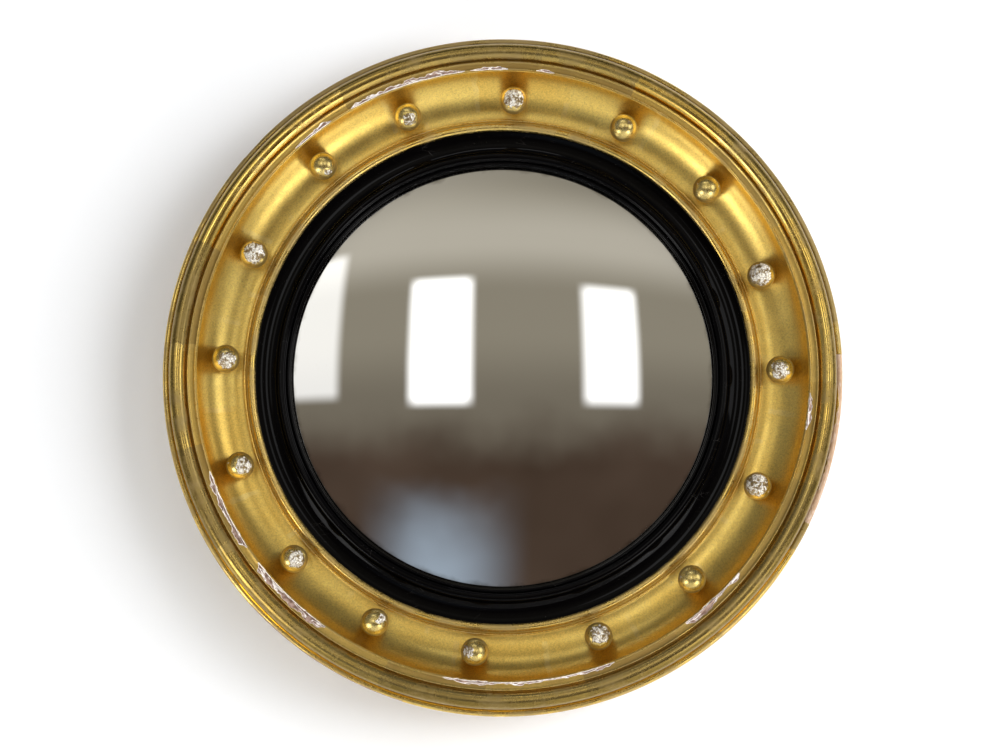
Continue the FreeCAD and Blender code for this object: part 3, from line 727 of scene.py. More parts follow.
def ball_gilding():
    material, tree, surface = finish("gilt_ball")
    place = object_place(tree)
    bare = attribute(tree, "bare")
    ball_shade = attribute(tree, "ball_shade")
    colour = tint(cloud(place, 90.0, detail=3.0).ramp(0.3, 0.7), (0.92, 0.72, 0.27), (0.76, 0.57, 0.18))
    fine = cloud(place, 1100.0, detail=4.0, roughness=0.65)
    flecks = cloud(place, 300.0, detail=3.0, roughness=0.58, distortion=0.9)
    creases = cells(place, 380.0, feature="DISTANCE_TO_EDGE")
    # Inside a patch, flecks of silvery white gesso stand among brown creases and scraps of gold.
    under = (bare * 1.3 + fine * 0.8 - 0.55).ramp(0.30, 0.75)
    white = (bare * 0.60 + flecks * 2.6 - 1.34).ramp(0.36, 0.62)
    crease = creases.ramp(0.10, 0.02) * under
    colour = tint(under * 0.75, colour, (0.24, 0.165, 0.10))
    shell = tint(cloud(place, 700.0, detail=2.0).ramp(0.3, 0.7), (0.90, 0.84, 0.70), (1.0, 0.98, 0.92))
    colour = tint(white, colour, shell)
    colour = tint(crease * 0.60, colour, (0.16, 0.09, 0.06))
    # Painted shade: the sides and the foot of each ball are painted dark brown.
    painted_shade = (ball_shade + fine * 0.4 - 0.2).ramp(0.2, 0.9)
    colour = tint(painted_shade * 0.72, colour, (0.27, 0.165, 0.040))
    rough = fine.ramp(0.3, 0.7, 0.23, 0.32) + white * 0.06 + under * 0.04 + painted_shade * 0.2
    metal = (white * -0.62 + 1.0) * (under * -0.10 + 1.0) * (painted_shade * -0.15 + 1.0)
    relief = (white * 0.4 + flecks * 1.0 - crease * 0.5) * under + fine * 0.08
    normal = bumped(relief, 0.00055, 0.65)
    connect(surface, {"Base Color": colour, "Metallic": metal, "Roughness": rough, "Normal": normal})
    return material


def wear_balls(mesh):
    """Beds each ball on the cove and raises the crackle of its bare patch."""
    places = points_of(mesh)
    around = np.degrees(np.arctan2(places[:, 2], places[:, 0])) % 360.0
    gaps = np.abs((around[:, None] - np.array(ball_angles) + 180.0) % 360.0 - 180.0)
    nearest = gaps.argmin(axis=1)
    centre = np.array([on_ring(*ball_centre, angle) for angle in ball_angles])[nearest]
    way = (places - centre) / ball_size
    patch = np.array(bare_patches)[nearest]
    front = np.sqrt(1 - patch[:, 0] ** 2 - patch[:, 1] ** 2)
    middle = np.stack([patch[:, 0], -front, patch[:, 1]], axis=1)
    apart = np.linalg.norm(way - middle, axis=1)
    ragged = ripple(places, 330.0, 21) * 0.16 + ripple(places, 800.0, 22) * 0.10
    bare = step_up(patch[:, 2] + ragged * (patch[:, 2] > 0) - apart, -0.04, 0.10) * (patch[:, 2] > 0)
    lumps = ripple(places, 900.0, 23) * 0.6 + ripple(places, 450.0, 24) * 0.6
    swell = -0.00008 + 0.00006 * ripple(places, 120.0, 25) - patch_relief * bare * (0.5 - 0.5 * lumps)
    places = centre + way * (ball_size + swell)[:, None]
    radius = np.hypot(places[:, 0], places[:, 2])
    section = np.stack([radius - cove_centre[0], -places[:, 1] - cove_centre[1]], axis=1)
    depth = np.linalg.norm(section, axis=1) / cove_size
    # The mask of painted shade: the foot where the ball meets the cove, and all its sides away from the
    # front.
    sides = step_up(way[:, 1], -0.80, -0.35)
    ball_shade = np.maximum(step_up(depth, 0.86, 1.0), 0.80 * sides)
    bedded = section / np.maximum(depth, 1.0)[:, None]
    places[:, 0] *= (bedded[:, 0] + cove_centre[0]) / radius
    places[:, 2] *= (bedded[:, 0] + cove_centre[0]) / radius
    places[:, 1] = -(bedded[:, 1] + cove_centre[1])
    mesh.vertices.foreach_set("co", places.ravel())
    keep(mesh, "bare", bare)
    keep(mesh, "ball_shade", ball_shade)
    mesh.update()
    mesh.shade_smooth()


gilt_ball = ball_gilding()
ball_places = bpy.data.meshes.new("ball_places")
ball_places.from_pydata([on_ring(*ball_centre, angle) for angle in ball_angles], [], [])
inputs = {"Size": ball_size, "Rows": ball_rows, "Finish": gilt_ball}
piece = grown("gilt_balls", ball_places, ball_tree(), inputs)
wear_balls(piece.data)
ball_nodes = [f"ball_{number + 1:02d}" for number in range(len(ball_angles))]
settle(piece, "frame", "gilt_ball", *ball_nodes)


def iron(name, rust_share):
    """Hand-made iron, dark, with patches of rust."""
    material, tree, surface = finish(name)
    place = object_place(tree)
    rust = cloud(place, 700.0, detail=5.0, roughness=0.65).ramp(0.42, 0.62) * rust_share
    colour = tint(cloud(place, 300.0), (0.11, 0.10, 0.095), (0.21, 0.19, 0.17))
    colour = tint(rust, colour, (0.19, 0.075, 0.03))
    normal = bumped(cloud(place, 900.0, detail=4.0), 0.00012, 0.6)
    metal = rust * -0.85 + 0.95
    rough = rust * 0.35 + 0.42
    connect(surface, {"Base Color": colour, "Metallic": metal, "Roughness": rough, "Normal": normal})
    return material


def refinish(node, material):
    """Gives a solid that stays as it is a better material."""
    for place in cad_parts[node].material_slots:
        place.material = material


refinish("ball_pins", iron("pin_iron", 0.35))


# ---- Black slip -------------------------------------------------------------------------------
# A turned pearwood ring, stained and polished black, with a shallow hollow, a bead and a small
# bead at the sight edge. It is dropped in from behind and covers the edge of the glass.
slip_steps = 720
slip_rim = 0.2096
slip_face = 0.0274
slip_hollow = (0.1958, 0.0256)
slip_hollow_end = (0.1877, 0.0284)
slip_bead = (0.1837, 0.0290)
slip_bead_size = 0.0040
slip_small_bead = (0.1780, 0.0286)
slip_small_bead_size = 0.0014
sight_radius = 0.1754
sight_height = 0.0272
glass_ledge = 0.0245
glass_seat = 0.1865


def slip_outline():
    outline = Outline(slip_rim, joint_height)
    outline.line(slip_rim, slip_face, 0.0025)
    outline.line(opening_radius, slip_face, 0.0016)
    outline.bow(slip_hollow, slip_hollow_end, 0.0009)
    outline.round(slip_bead, slip_bead_size, 0, 180, 0.0004)
    outline.line(0.1795, 0.0283)
    outline.round(slip_small_bead, slip_small_bead_size, 10, 180, 0.0003)
    outline.line(sight_radius, sight_height, 0.0006)
    outline.line(sight_radius, glass_ledge, 0.0012)
    outline.line(glass_seat, glass_ledge, 0.0040)
    outline.line(glass_seat, joint_height, 0.0020)
    outline.line(slip_rim, joint_height, 0.0080)
    return smoothed(np.array(outline.points[:-1]), 1)


def black_polish():
    material, tree, surface = finish("ebonised_wood", **{"Specular IOR Level": 0.10})
    place = object_place(tree)
    grain = cloud(place, 260.0, detail=4.0, roughness=0.6)
    smear = cloud(place, 14.0, detail=3.0)
    dust = cells(place, 260.0).ramp(0.055, 0.03) * cloud(place, 24.0, detail=2.0).ramp(0.52, 0.62)
    slanted = stretched(place, (1.0, 1.0, 3.2), turn=(0.0, 0.7, 0.0))
    scratch = cells(slanted, 55.0, feature="DISTANCE_TO_EDGE")
    scratch = scratch.ramp(0.005, 0.002) * cloud(place, 60.0, detail=2.0).ramp(0.60, 0.72) * 0.5
    marks = dust.math("MAXIMUM", scratch)
    colour = tint(grain, (0.0003, 0.0003, 0.0005), (0.0016, 0.0014, 0.0016))
    colour = tint(marks * 0.8, colour, (0.16, 0.15, 0.14))
    rough = smear.ramp(0.3, 0.7, 0.05, 0.09) + marks * 0.3
    normal = bumped(grain * 0.4 - scratch * 0.6 + dust * 0.5, 0.00006, 0.35)
    connect(surface, {"Base Color": colour, "Roughness": rough, "Normal": normal})
    return material


outline = slip_outline()
piece = turned("black_slip", [*outline, outline[0]], black_polish(), slip_steps)
places = points_of(piece.data)
reach = np.hypot(places[:, 0], places[:, 2])
on_face = (places[:, 1] < -glass_ledge - 0.0001) * (reach < opening_radius - 0.0002)
waver = ripple(places, 18.0, 31) * 0.00005 + ripple(places, 60.0, 32) * 0.00003 - 0.00008
places[:, 1] -= waver * on_face
piece.data.vertices.foreach_set("co", places.ravel())
piece.data.update()
piece.data.set_sharp_from_angle(angle=math.radians(50))
settle(piece, "frame", "ebonised_wood", "ebonised_slip")


# ---- Domed glass ------------------------------------------------------------------------------
# A round of glass, bent to a dome over a mould and silvered on its back. It lies against the
# ledge of the slip, bulging forwards.
glass_radius = 0.1850
glass_thickness = 0.0032
dome_size = 0.6640
glass_steps = 288
glass_rings = 72


def dome_drop(radius, size):
    """How far a dome of this size has dropped at this radius."""
    return size - math.sqrt(size**2 - radius**2)


def glass_outline():
    apex = glass_ledge - 0.0001 + dome_drop(sight_radius, dome_size)
    rings = [glass_radius * step / glass_rings for step in range(glass_rings + 1)]
    front = [(r, apex - dome_drop(r, dome_size)) for r in rings]
    back_size = dome_size - glass_thickness
    back = [(r, apex - glass_thickness - dome_drop(r, back_size)) for r in reversed(rings)]
    return front + back


def silvered():
    material, tree, surface = finish("silvered_glass", Metallic=1.0)
    place = object_place(tree)
    haze = cloud(place, 9.0, detail=3.0)
    from_axis = stretched(place, (1.0, 0.0, 1.0))
    radius = add(tree, "ShaderNodeVectorMath", {0: from_axis}, "Value", operation="LENGTH")
    # Painted shade: a ragged dark band round the edge of the glass, under the slip. The small dark spots
    # are foxing of the silver.
    ragged = cloud(place, 70.0, detail=4.0) * 0.010
    edge = (radius + ragged).ramp(0.1755, 0.1835)
    fox = cells(place, 120.0).ramp(0.08, 0.03) * cloud(place, 16.0, detail=3.0).ramp(0.60, 0.72)
    colour = tint(haze, (0.80, 0.80, 0.785), (0.84, 0.84, 0.825))
    colour = tint(edge.math("MAXIMUM", fox * 0.55), colour, (0.28, 0.26, 0.23))
    rough = cloud(place, 400.0, detail=3.0).ramp(0.35, 0.75, 0.008, 0.028) + edge * 0.1
    normal = bumped(cloud(place, 11.0, detail=2.0), 0.00006, 0.5)
    connect(surface, {"Base Color": colour, "Roughness": rough, "Normal": normal})
    return material


piece = turned("mirror_glass", glass_outline(), silvered(), glass_steps)
piece.data.set_sharp_from_angle(angle=math.radians(50))
settle(piece, "frame", "silvered_glass", "convex_glass")


# ---- Felt packing and glazing blocks ----------------------------------------------------------
# A felt ring behind the glass, and eight stepped pine blocks rubbed on with hot glue, which hold
# the slip and the glass in place. All of it is shut in by the backboard.
def felt(name, pale, dark):
    material, tree, surface = finish(name, **{"Sheen Weight": 0.4, "Sheen Roughness": 0.6})
    place = object_place(tree)
    pressed = stretched(place, (1.0, 1.0, 2.2), turn=(0.3, 0.5, 0.2))
    fibres = cloud(pressed, 1400.0, detail=4.0, roughness=0.7)
    mottle = cloud(place, 180.0, detail=4.0)
    colour = tint(fibres.ramp(0.3, 0.7) * 0.6 + mottle * 0.4, dark, pale)
    normal = bumped(fibres + mottle, 0.0004, 0.8)
    rough = fibres.ramp(0.2, 0.8, 0.85, 0.98)
    connect(surface, {"Base Color": colour, "Roughness": rough, "Normal": normal})
    return material


refinish("glass_packing", felt("packing_felt", (0.30, 0.27, 0.22), (0.13, 0.11, 0.09)))
block_tones = ((0.58, 0.38, 0.18), (0.34, 0.18, 0.07), (0.30, 0.13, 0.03))
refinish("glazing_blocks", pine("block_pine", *block_tones, 0.30, (0.0, 0.4, 0.0)))


# ---- Backboard --------------------------------------------------------------------------------
# Three thin pine planks cut to a round, nailed through two battens on their inner side with cut
# iron nails. The planks have gone brown.
batten_offset = 0.095
nail_stagger = 0.008
nail_heights = (-0.115, -0.088, -0.040, 0.040, 0.088, 0.115)
nail_head = 0.0030
nail_head_thickness = 0.0010
nail_length = 0.016
nail_half_width = 0.00085

board_tones = ((0.47, 0.28, 0.12), (0.23, 0.105, 0.04), (0.17, 0.11, 0.06))
board_pine = pine("board_pine", *board_tones, 0.45)
for number, part in enumerate(("top", "middle", "bottom")):
    piece = eased_copy(f"pine_board_{part}", f"backboard_{part}", board_arris)
    plank(piece.data, (1.0, 0.0, 0.0), (0.0, 0.0, 1.0), number + 11)
    piece.data.materials.append(board_pine)
    settle(piece, "frame", "board_pine", f"backboard_{part}")
batten_tones = ((0.55, 0.35, 0.17), (0.30, 0.15, 0.06), (0.25, 0.15, 0.07))
batten_pine = pine("batten_pine", *batten_tones, 0.2, (0.0, math.pi / 2, 0.0))
for side in ("left", "right"):
    refinish(f"backboard_batten_{side}", batten_pine)


def set_out_tree():
    """Sets out copies of a pattern at given points, each turned as its point says."""
    kinds = {"Places": "Geometry", "Pattern": "Object", "Finish": "Material"}
    tree, (places, pattern, skin) = making("set_out", kinds)
    copied = add(tree, "GeometryNodeObjectInfo", {0: pattern}, "Geometry")
    turn = add(tree, "GeometryNodeInputNamedAttribute", {"Name": "turn"}, data_type="FLOAT_VECTOR")
    turn = add(tree, "FunctionNodeEulerToRotation", {0: turn})
    made = {"Points": places, "Instance": copied, "Rotation": turn}
    made = add(tree, "GeometryNodeInstanceOnPoints", made)
    made_real(tree, made, skin)
    return tree


def set_out(name, pattern, places, turns, skin):
    """One piece of many copies. The pattern is a mesh that faces +Y from its own origin."""
    spots = bpy.data.meshes.new(name + "_places")
    spots.from_pydata(places, [], [])
    keep(spots, "turn", np.array([(0.0, turn, 0.0) for turn in turns]))
    holder = bpy.data.objects.new(name + "_pattern", pattern)
    bpy.context.scene.collection.objects.link(holder)
    piece = grown(name, spots, setting_out, {"Pattern": holder, "Finish": skin})
    bpy.data.objects.remove(holder)
    return piece


def nail_pattern():
    """A cut nail: a hammered rose head, flush with the wood, over a square tapering shank."""
    shape = bmesh.new()
    sides = 10
    rings = ((0.45, -0.00004), (0.8, -0.00016), (1.0, -0.0004), (0.93, -nail_head_thickness))
    dents = np.random.default_rng(3).uniform(0.86, 1.0, (len(rings), sides))
    loops = []
    for (share, height), dent in zip(rings, dents):
        loop = []
        for s in range(sides):
            turn = math.tau * s / sides
            radius = nail_head * share * dent[s]
            loop.append(shape.verts.new((radius * math.cos(turn), height, radius * math.sin(turn))))
        loops.append(loop)
    crown = shape.verts.new((0.0, 0.0, 0.0))
    for s in range(sides):
        shape.faces.new((crown, loops[0][s], loops[0][(s + 1) % sides]))
        for upper, lower in itertools.pairwise(loops):
            shape.faces.new((upper[s], lower[s], lower[(s + 1) % sides], upper[(s + 1) % sides]))
    shape.faces.new(loops[-1])
    corners = ((1, 1), (-1, 1), (-1, -1), (1, -1))
    corners = [(x * nail_half_width, z * nail_half_width) for x, z in corners]
    top = [shape.verts.new((x, -nail_head_thickness, z)) for x, z in corners]
    foot = [shape.verts.new((v.co.x * 0.3, 0.0005 - nail_length, v.co.z * 0.7)) for v in top]
    for s in range(4):
        shape.faces.new((top[s], top[(s + 1) % 4], foot[(s + 1) % 4], foot[s]))
    shape.faces.new(top)
    shape.faces.new(foot)
    bmesh.ops.recalc_face_normals(shape, faces=shape.faces)
    mesh = bpy.data.meshes.new("cut_nail")
    shape.to_mesh(mesh)
    shape.free()
    return mesh


setting_out = set_out_tree()
nail_iron = iron("nail_iron", 0.9)
nail_places = []
for side in (-1, 1):
    for count, z in enumerate(nail_heights):
        stagger = nail_stagger if count % 2 else -nail_stagger
        nail_places.append((side * batten_offset + stagger, 0.0, z))
nail_turns = np.random.default_rng(8).uniform(0.0, math.tau, len(nail_places))
piece = set_out("cut_nails", nail_pattern(), nail_places, nail_turns, nail_iron)
settle(piece, "frame", "iron", "batten_nails")


# ---- Turn buttons -----------------------------------------------------------------------------
# Four pear-shaped brass plates that swing on round-headed screws in the back ring and hold the
# backboard in. Their brass is dull and brown, brighter in places.
button_angles = {"upper_right": 45.0, "upper_left": 135.0, "lower_left": 225.0, "lower_right": 315.0}
button_pivot = 0.227
button_screw_neck = 0.0029
button_screw_head = 0.0045
button_screw_rise = 0.0023
button_screw_length = 0.016
button_screw_shank = 0.0020
screw_steps = 40
slot_width = 0.0010
slot_depth = 0.0009


def brass(name, dull_share):
    """Cast or rolled brass with a brown skin, scratches and some brighter rubbed places."""
    material, tree, surface = finish(name)
    place = object_place(tree)
    skin = cloud(place, 60.0, detail=3.0, roughness=0.55)
    fine = cloud(place, 700.0, detail=4.0, roughness=0.6)
    dull = (skin + fine * 0.25 + (dull_share - 0.625)).ramp(0.28, 0.72)
    scratches = cloud(stretched(place, (700.0, 60.0, 140.0), turn=(0.0, 0.6, 0.0)), 1.0, detail=3.0)
    colour = tint(dull, (0.68, 0.46, 0.18), (0.34, 0.22, 0.09))
    colour = tint(cells(place, 420.0).ramp(0.09, 0.04) * 0.45, colour, (0.09, 0.06, 0.03))
    rough = dull * 0.18 + scratches.ramp(0.3, 0.7, 0.20, 0.32)
    normal = bumped(scratches * 0.6 + fine * 0.4, 0.00005, 0.4)
    metal = dull * -0.15 + 1.0
    connect(surface, {"Base Color": colour, "Metallic": metal, "Roughness": rough, "Normal": normal})
    return material


def slotted(mesh, centre, length, width, depth):
    """Cuts a driver slot along X in the outer face of a head."""
    cutter = bmesh.new()
    bmesh.ops.create_cube(cutter, size=1.0)
    for vertex in cutter.verts:
        corner = (vertex.co.x * length, vertex.co.y * 2 * depth, vertex.co.z * width)
        vertex.co = Vector(centre) + Vector(corner)
    cutter_mesh = bpy.data.meshes.new("slot_cutter")
    cutter.to_mesh(cutter_mesh)
    cutter.free()
    blade = bpy.data.objects.new("slot_blade", cutter_mesh)
    head = bpy.data.objects.new("slotted_head", mesh)
    for thing in (blade, head):
        bpy.context.scene.collection.objects.link(thing)
    cut = head.modifiers.new("slot", "BOOLEAN")
    cut.object = blade
    cut.operation = "DIFFERENCE"
    cut.solver = "EXACT"
    made = head.evaluated_get(bpy.context.evaluated_depsgraph_get())
    made = bpy.data.meshes.new_from_object(made)
    for thing in (blade, head):
        bpy.data.objects.remove(thing)
    made.shade_smooth()
    made.set_sharp_from_angle(angle=math.radians(30))
    return made


def screw_pattern(head_points, shank, head_foot, length):
    """A wood screw on the lathe: a head, then a plain shank. It faces +Y."""
    points = [(r, -y) for r, y in head_points]
    points += [(shank, -head_foot), (shank, length * 0.9), (shank * 0.4, length), (0.0, length)]
    holder = turned("screw_pattern", points, None, screw_steps)
    mesh = holder.data
    bpy.data.objects.remove(holder)
    return mesh


button_brass = brass("button_brass", 0.50)
for place_name, angle in button_angles.items():
    node = f"turn_button_{place_name}"
    piece = eased_copy(f"brass_{node}", node, 0.0004)
    piece.data.materials.append(button_brass)
    settle(piece, node, "brass", node)

dome = (button_screw_head**2 + button_screw_rise**2) / (2 * button_screw_rise)
crown = button_screw_neck + button_screw_rise
round_head = []
for step in range(9):
    radius = button_screw_head * step / 8
    round_head.append((radius, crown - dome_drop(radius, dome)))
pattern = screw_pattern(round_head, button_screw_shank, button_screw_neck, button_screw_length)
pattern = slotted(pattern, (0.0, crown, 0.0), 0.012, slot_width, slot_depth)
screw_places = [on_ring(button_pivot, 0.0, angle) for angle in button_angles.values()]
screw_turns = [-math.radians(angle + 20.0) for angle in button_angles.values()]
piece = set_out("button_screws", pattern, screw_places, screw_turns, brass("screw_brass", 0.42))
settle(piece, "frame", "brass", "turn_button_screws")


# ---- Hanger -----------------------------------------------------------------------------------
# A brass strap rolled round the bar of a D-shaped wire ring, and screwed to the top of the back
# ring with three countersunk screws. The mirror hangs from the ring.
ring_axis_height = 0.240
ring_axis_y = 0.0042
ring_wire = 0.0020
ring_half_width = 0.016
ring_corner = 0.004
ring_leg = 0.004
hanger_screws = ((-0.006, 0.231), (0.006, 0.231), (0.0, 0.220))
hanger_screw_head = 0.0031
hanger_screw_shank = 0.0016
hanger_screw_length = 0.0144
hanger_slot_width = 0.0009
strap_thickness = 0.0016

strap_brass = brass("strap_brass", 0.46)
piece = eased_copy("brass_hanger_strap", "hanger_strap", 0.00025)
piece.data.materials.append(strap_brass)
settle(piece, "frame", "brass", "hanger_strap")

head_shares = ((0.0, 0.0), (0.5, 0.0), (0.96, -0.00002), (1.0, -0.00008))
flat_head = [(hanger_screw_head * share, height) for share, height in head_shares]
neck = hanger_screw_shank - hanger_screw_head
pattern = screw_pattern(flat_head, hanger_screw_shank, neck, hanger_screw_length)
pattern = slotted(pattern, (0.0, 0.0, 0.0), 0.008, hanger_slot_width, slot_depth)
screw_places = [(x, strap_thickness, z) for x, z in hanger_screws]
piece = set_out("strap_screws", pattern, screw_places, [0.5, -0.7, 1.2], brass("strap_screw_brass", 0.52))
settle(piece, "frame", "brass", "hanger_screws")


def wire_tree():
    """A round wire swept along a closed path."""
    kinds = {"Path": "Geometry", "Size": "Float", "Sides": "Int", "Finish": "Material"}
    tree, (path, size, sides, skin) = making("bent_wire", kinds)
    line = add(tree, "GeometryNodeMeshToCurve", {"Mesh": path})
    section = add(tree, "GeometryNodeCurvePrimitiveCircle", {"Resolution": sides, "Radius": size})
    wire = add(tree, "GeometryNodeCurveToMesh", {"Curve": line, "Profile Curve": section})
    made_real(tree, wire, skin)
    return tree


def ring_path():
    """The D: a straight bar in the knuckle, two rounded corners, short legs and a half circle."""
    bar = ring_half_width - ring_corner
    corner_z = ring_axis_height - ring_corner
    leg_foot = corner_z - ring_leg
    path = [(-bar + 2 * bar * step / 12, ring_axis_height) for step in range(13)]
    path += [on_circle((bar, corner_z), ring_corner, 90.0 - 11.25 * step) for step in range(1, 9)]
    path += [(ring_half_width, corner_z - ring_leg / 2)]
    path += [on_circle((0.0, leg_foot), ring_half_width, -5.0 * step) for step in range(37)]
    path += [(-ring_half_width, corner_z - ring_leg / 2)]
    path += [on_circle((-bar, corner_z), ring_corner, 180.0 - 11.25 * step) for step in range(8)]
    return [(x, ring_axis_y, z) for x, z in path]


path = ring_path()
path_mesh = bpy.data.meshes.new("ring_path")
joins = [(i, (i + 1) % len(path)) for i in range(len(path))]
path_mesh.from_pydata(path, joins, [])
inputs = {"Size": ring_wire, "Sides": 28, "Finish": brass("ring_brass", 0.44)}
piece = grown("brass_hanging_ring", path_mesh, wire_tree(), inputs)
piece.data.shade_smooth()
settle(piece, "hanging_ring", "brass", "hanging_ring")


# ---- Wall pads --------------------------------------------------------------------------------
# Two round pads punched from thick grey-green felt and glued low on the back, so that the frame
# hangs upright and doesn't mark the wall.
pad_ring = 0.256
pad_size = 0.010
pad_thickness = 0.0080
pad_angles = {"left": 236.0, "right": 304.0}
pad_felt = felt("pad_felt", (0.20, 0.22, 0.16), (0.08, 0.095, 0.07))
for side, angle in pad_angles.items():
    outline = Outline(0.0, 0.0)
    outline.line(pad_size - 0.0005, 0.0, 0.0007)
    outline.line(pad_size - 0.0001, -0.0005, 0.0005)
    outline.line(pad_size - 0.0001, -pad_thickness + 0.0006, 0.0007)
    outline.line(pad_size - 0.0007, -pad_thickness, 0.0005)
    outline.line(0.0, -pad_thickness, 0.0007)
    piece = turned(f"felt_pad_{side}", outline.points, pad_felt, 96)
    places = points_of(piece.data)
    outwards = places * np.array([1.0, 0.0, 1.0])
    outwards /= np.maximum(np.linalg.norm(outwards, axis=1), 1e-6)[:, None]
    fuzz = ripple(places + angle, 1100.0, 41) * 0.5 + ripple(places + angle, 420.0, 42) * 0.5 - 1.0
    side_share = step_up(np.hypot(places[:, 0], places[:, 2]), pad_size * 0.85, pad_size * 0.99)
    places += outwards * (fuzz * 0.00022 * side_share)[:, None]
    free_face = step_up(places[:, 1], pad_thickness * 0.6, pad_thickness)
    places[:, 1] += fuzz * 0.00012 * free_face
    places += on_ring(pad_ring, 0.0, angle)
    piece.data.vertices.foreach_set("co", places.ravel())
    piece.data.update()
    settle(piece, "frame", "felt", f"wall_pad_{side}")


# ---- Wall, floor and light --------------------------------------------------------------------
# The mirror hangs on a plain white wall over a pale floor. Soft daylight comes from large panes
# in front, big soft lamps on the right, two smaller ones low down and a narrow one above.
wall_gap = 0.0082
wall_half = 3.0
floor_level = -1.90
floor_front = 2.8
floor_reach = 14.0
near_ray = 0.05
wall_glow = 0.10
camera_distance = 2.0
camera_fall = 5.0
camera_aim = Vector((0.0002, -0.0460, -0.0033))
camera_centre = Vector((0.0, -0.0460, 0.0))
camera_lens = 86.98
sensor_width = 36.0


def plane(name, corners, material):
    mesh = bpy.data.meshes.new(name)
    mesh.from_pydata(corners, [], [(0, 1, 2, 3)])
    mesh.materials.append(material)
    thing = bpy.data.objects.new(name, mesh)
    bpy.context.scene.collection.objects.link(thing)
    return thing


def plaster(name, colour, rough):
    """Matt painted plaster, with faint trowel marks."""
    material, tree, surface = finish(name, Roughness=rough)
    place = object_place(tree)
    trowelled = cloud(place, 3.0, detail=4.0, distortion=0.4)
    pale = tint(trowelled, tuple(c * 0.985 for c in colour), colour)
    normal = bumped(cloud(place, 55.0, detail=4.0), 0.0002, 0.15)
    connect(surface, {"Base Color": pale, "Normal": normal})
    return material, tree, surface


def wall_paint():
    """The wall shows from its front. From behind, and close behind the mirror, light passes it."""
    material, tree, surface = plaster("wall_paint", (0.93, 0.95, 0.98), 0.9)
    keys = ("Is Camera Ray", "Is Glossy Ray", "Is Transmission Ray", "Ray Length")
    seen, glossy, through, length = (add(tree, "ShaderNodeLightPath", {}, key) for key in keys)
    far = seen.math("MAXIMUM", length.math("GREATER_THAN", near_ray))
    glow = seen.math("MAXIMUM", glossy).math("MAXIMUM", through) * wall_glow
    connect(surface, {"Emission Color": (1.0, 1.0, 1.0), "Emission Strength": glow})
    behind = add(tree, "ShaderNodeNewGeometry", {}, "Backfacing")
    shown = far * (behind * -1.0 + 1.0)
    clear = add(tree, "ShaderNodeBsdfTransparent")
    mixed = add(tree, "ShaderNodeMixShader", {0: shown, 1: clear, 2: Wire(surface.outputs[0])})
    connect(tree.nodes["Material Output"], {"Surface": mixed})
    return material


wall_corners = [(-wall_half, wall_gap, floor_level), (wall_half, wall_gap, floor_level)]
wall_corners += [(wall_half, wall_gap, wall_half), (-wall_half, wall_gap, wall_half)]
plane("wall", wall_corners, wall_paint())
floor_corners = [(-floor_reach, -floor_front, floor_level), (floor_reach, -floor_front, floor_level)]
floor_corners += [(floor_reach, floor_reach, floor_level), (-floor_reach, floor_reach, floor_level)]
plane("floor", floor_corners, plaster("floor_paint", (0.80, 0.79, 0.77), 0.7)[0])


# For each pane, its sides and its foot and top, as shares of the distance ahead, and how bright.
window_panes = (
    (-0.76, -0.50, 0.00, 0.54, 0.85),
    (-0.30, -0.07, -0.02, 0.41, 2.2),
    (0.22, 0.44, -0.02, 0.39, 1.7),
)
pane_light = (0.97, 0.98, 1.0)
seen_sky = (0.80, 0.80, 0.79)


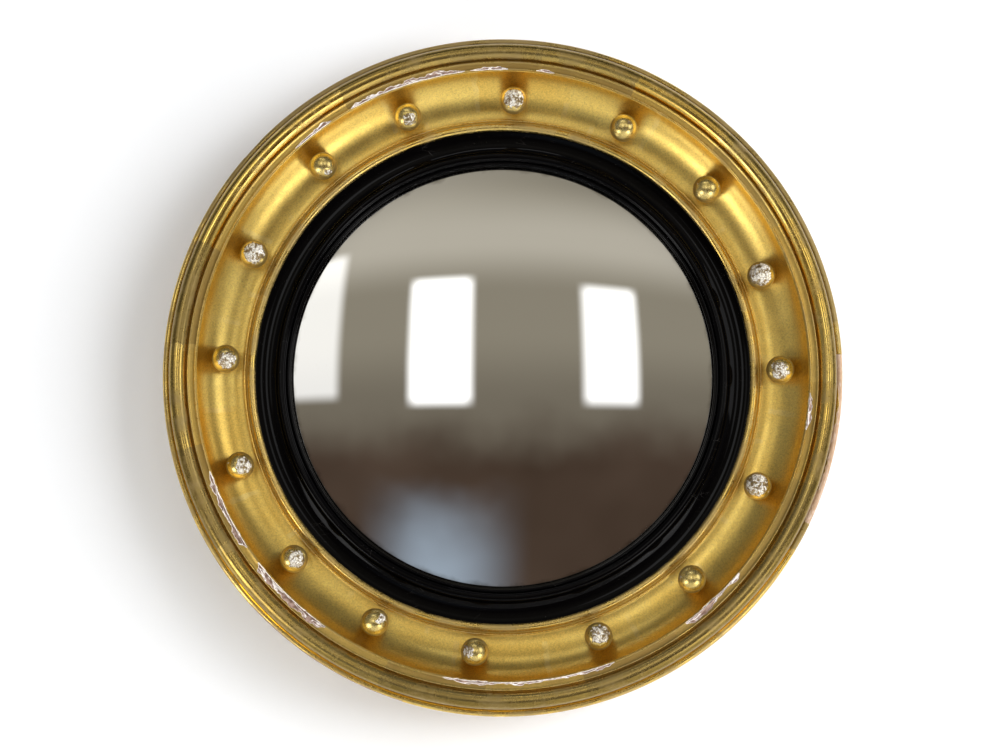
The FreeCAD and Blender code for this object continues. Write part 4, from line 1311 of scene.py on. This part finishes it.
def daylight():
    """Light from all round: dim above and at the sides, warm tones ahead. It is seen as pale."""
    world = bpy.data.worlds.new("daylight")
    bpy.context.scene.world = world
    world.use_nodes = True
    tree = world.node_tree
    way = add(tree, "ShaderNodeTexCoord", {}, "Generated")
    x, y, z = (add(tree, "ShaderNodeSeparateXYZ", {0: way}, axis) for axis in "XYZ")
    ahead = y * -1.0
    right = x / ahead.math("MAXIMUM", 0.05)
    up = z / ahead.math("MAXIMUM", 0.05)
    blurred = cloud(way, 5.0, detail=2.0)
    upper = tint(up.ramp(0.0, 0.22), (0.20, 0.175, 0.135), (0.30, 0.27, 0.21))
    upper = tint(up.ramp(0.34, 0.52), upper, (0.55, 0.51, 0.43))
    upper = tint(up.ramp(0.55, 0.80) * right.ramp(-0.5, 0.3, 0.4, 1.0), upper, (0.32, 0.29, 0.225))
    lower = tint(cloud(way, 3.0, detail=2.0), (0.035, 0.020, 0.012), (0.11, 0.075, 0.055))
    room = tint((up + blurred * 0.16 - 0.08).ramp(-0.20, 0.02), lower, upper)
    glint = right.ramp(-0.50, -0.22) * right.ramp(0.10, -0.20) * (up + blurred * 0.2).ramp(-0.10, -0.42)
    room = tint(glint, room, (0.36, 0.43, 0.52))
    sides = tint(z.ramp(-0.6, 0.1), (0.15, 0.115, 0.08), (0.19, 0.19, 0.20))
    sides = tint(z.ramp(0.35, 0.7), sides, (0.11, 0.11, 0.115))
    back = tint(z.ramp(-0.5, 0.8), (0.42, 0.42, 0.42), (1.10, 1.10, 1.08))
    sides = tint(y.ramp(-0.05, 0.35), sides, back)
    sky = tint(ahead.ramp(0.62, 0.82), sides, room)
    soft = 0.05
    bright = None
    for left, far, low, high, level in window_panes:
        pane = right.ramp(left, left + soft) * right.ramp(far, far - soft)
        pane = pane * up.ramp(low, low + soft) * up.ramp(high, high - soft) * level
        bright = pane if bright is None else bright + pane
    glow = {0: pane_light, "Scale": bright * ahead.ramp(0.0, 0.3)}
    glow = add(tree, "ShaderNodeVectorMath", glow, operation="SCALE")
    sky = add(tree, "ShaderNodeVectorMath", {0: sky, 1: glow}, operation="ADD")
    seen = add(tree, "ShaderNodeLightPath", {}, "Is Camera Ray")
    sky = tint(seen, sky, seen_sky)
    background = tree.nodes["Background"]
    connect(background, {"Color": sky, "Strength": 1.0})


def soft_lamp(name, azimuth, elevation, distance, width, height, power, mirrored=True):
    """A soft lamp aimed at the mirror. Azimuth runs from straight ahead to the right."""
    light = bpy.data.lights.new(name, "AREA")
    light.shape = "RECTANGLE"
    light.size = width
    light.size_y = height
    light.energy = power
    turn = math.radians(azimuth)
    rise = math.radians(elevation)
    way = Vector((math.sin(turn) * math.cos(rise), -math.cos(turn) * math.cos(rise), math.sin(rise)))
    lamp = bpy.data.objects.new(name, light)
    lamp.location = way * distance
    lamp.rotation_euler = way.to_track_quat("Z", "Y").to_euler()
    lamp.visible_camera = False
    lamp.visible_glossy = mirrored
    bpy.context.scene.collection.objects.link(lamp)


daylight()
soft_lamp("key_lamp", 52.0, 12.0, 3.0, 2.4, 2.2, 105.0, mirrored=False)
soft_lamp("right_lamp", 51.0, 11.0, 2.6, 1.0, 1.3, 6.8)
soft_lamp("low_left_lamp", -52.0, -30.0, 1.6, 0.8, 0.55, 4.6)
soft_lamp("low_right_lamp", 44.0, -32.0, 1.6, 0.62, 0.50, 2.9)
soft_lamp("top_strip", -12.0, 52.0, 2.5, 1.6, 0.10, 2.6)

fall = math.radians(camera_fall)
camera_data = bpy.data.cameras.new("camera")
camera_data.lens = camera_lens
camera_data.sensor_width = sensor_width
camera = bpy.data.objects.new("camera", camera_data)
camera.location = camera_centre + Vector((0.0, -math.cos(fall), -math.sin(fall))) * camera_distance
camera.rotation_euler = (camera_aim - camera.location).to_track_quat("-Z", "Y").to_euler()
bpy.context.scene.collection.objects.link(camera)
bpy.context.scene.camera = camera
bpy.context.scene.view_settings.view_transform = "Standard"
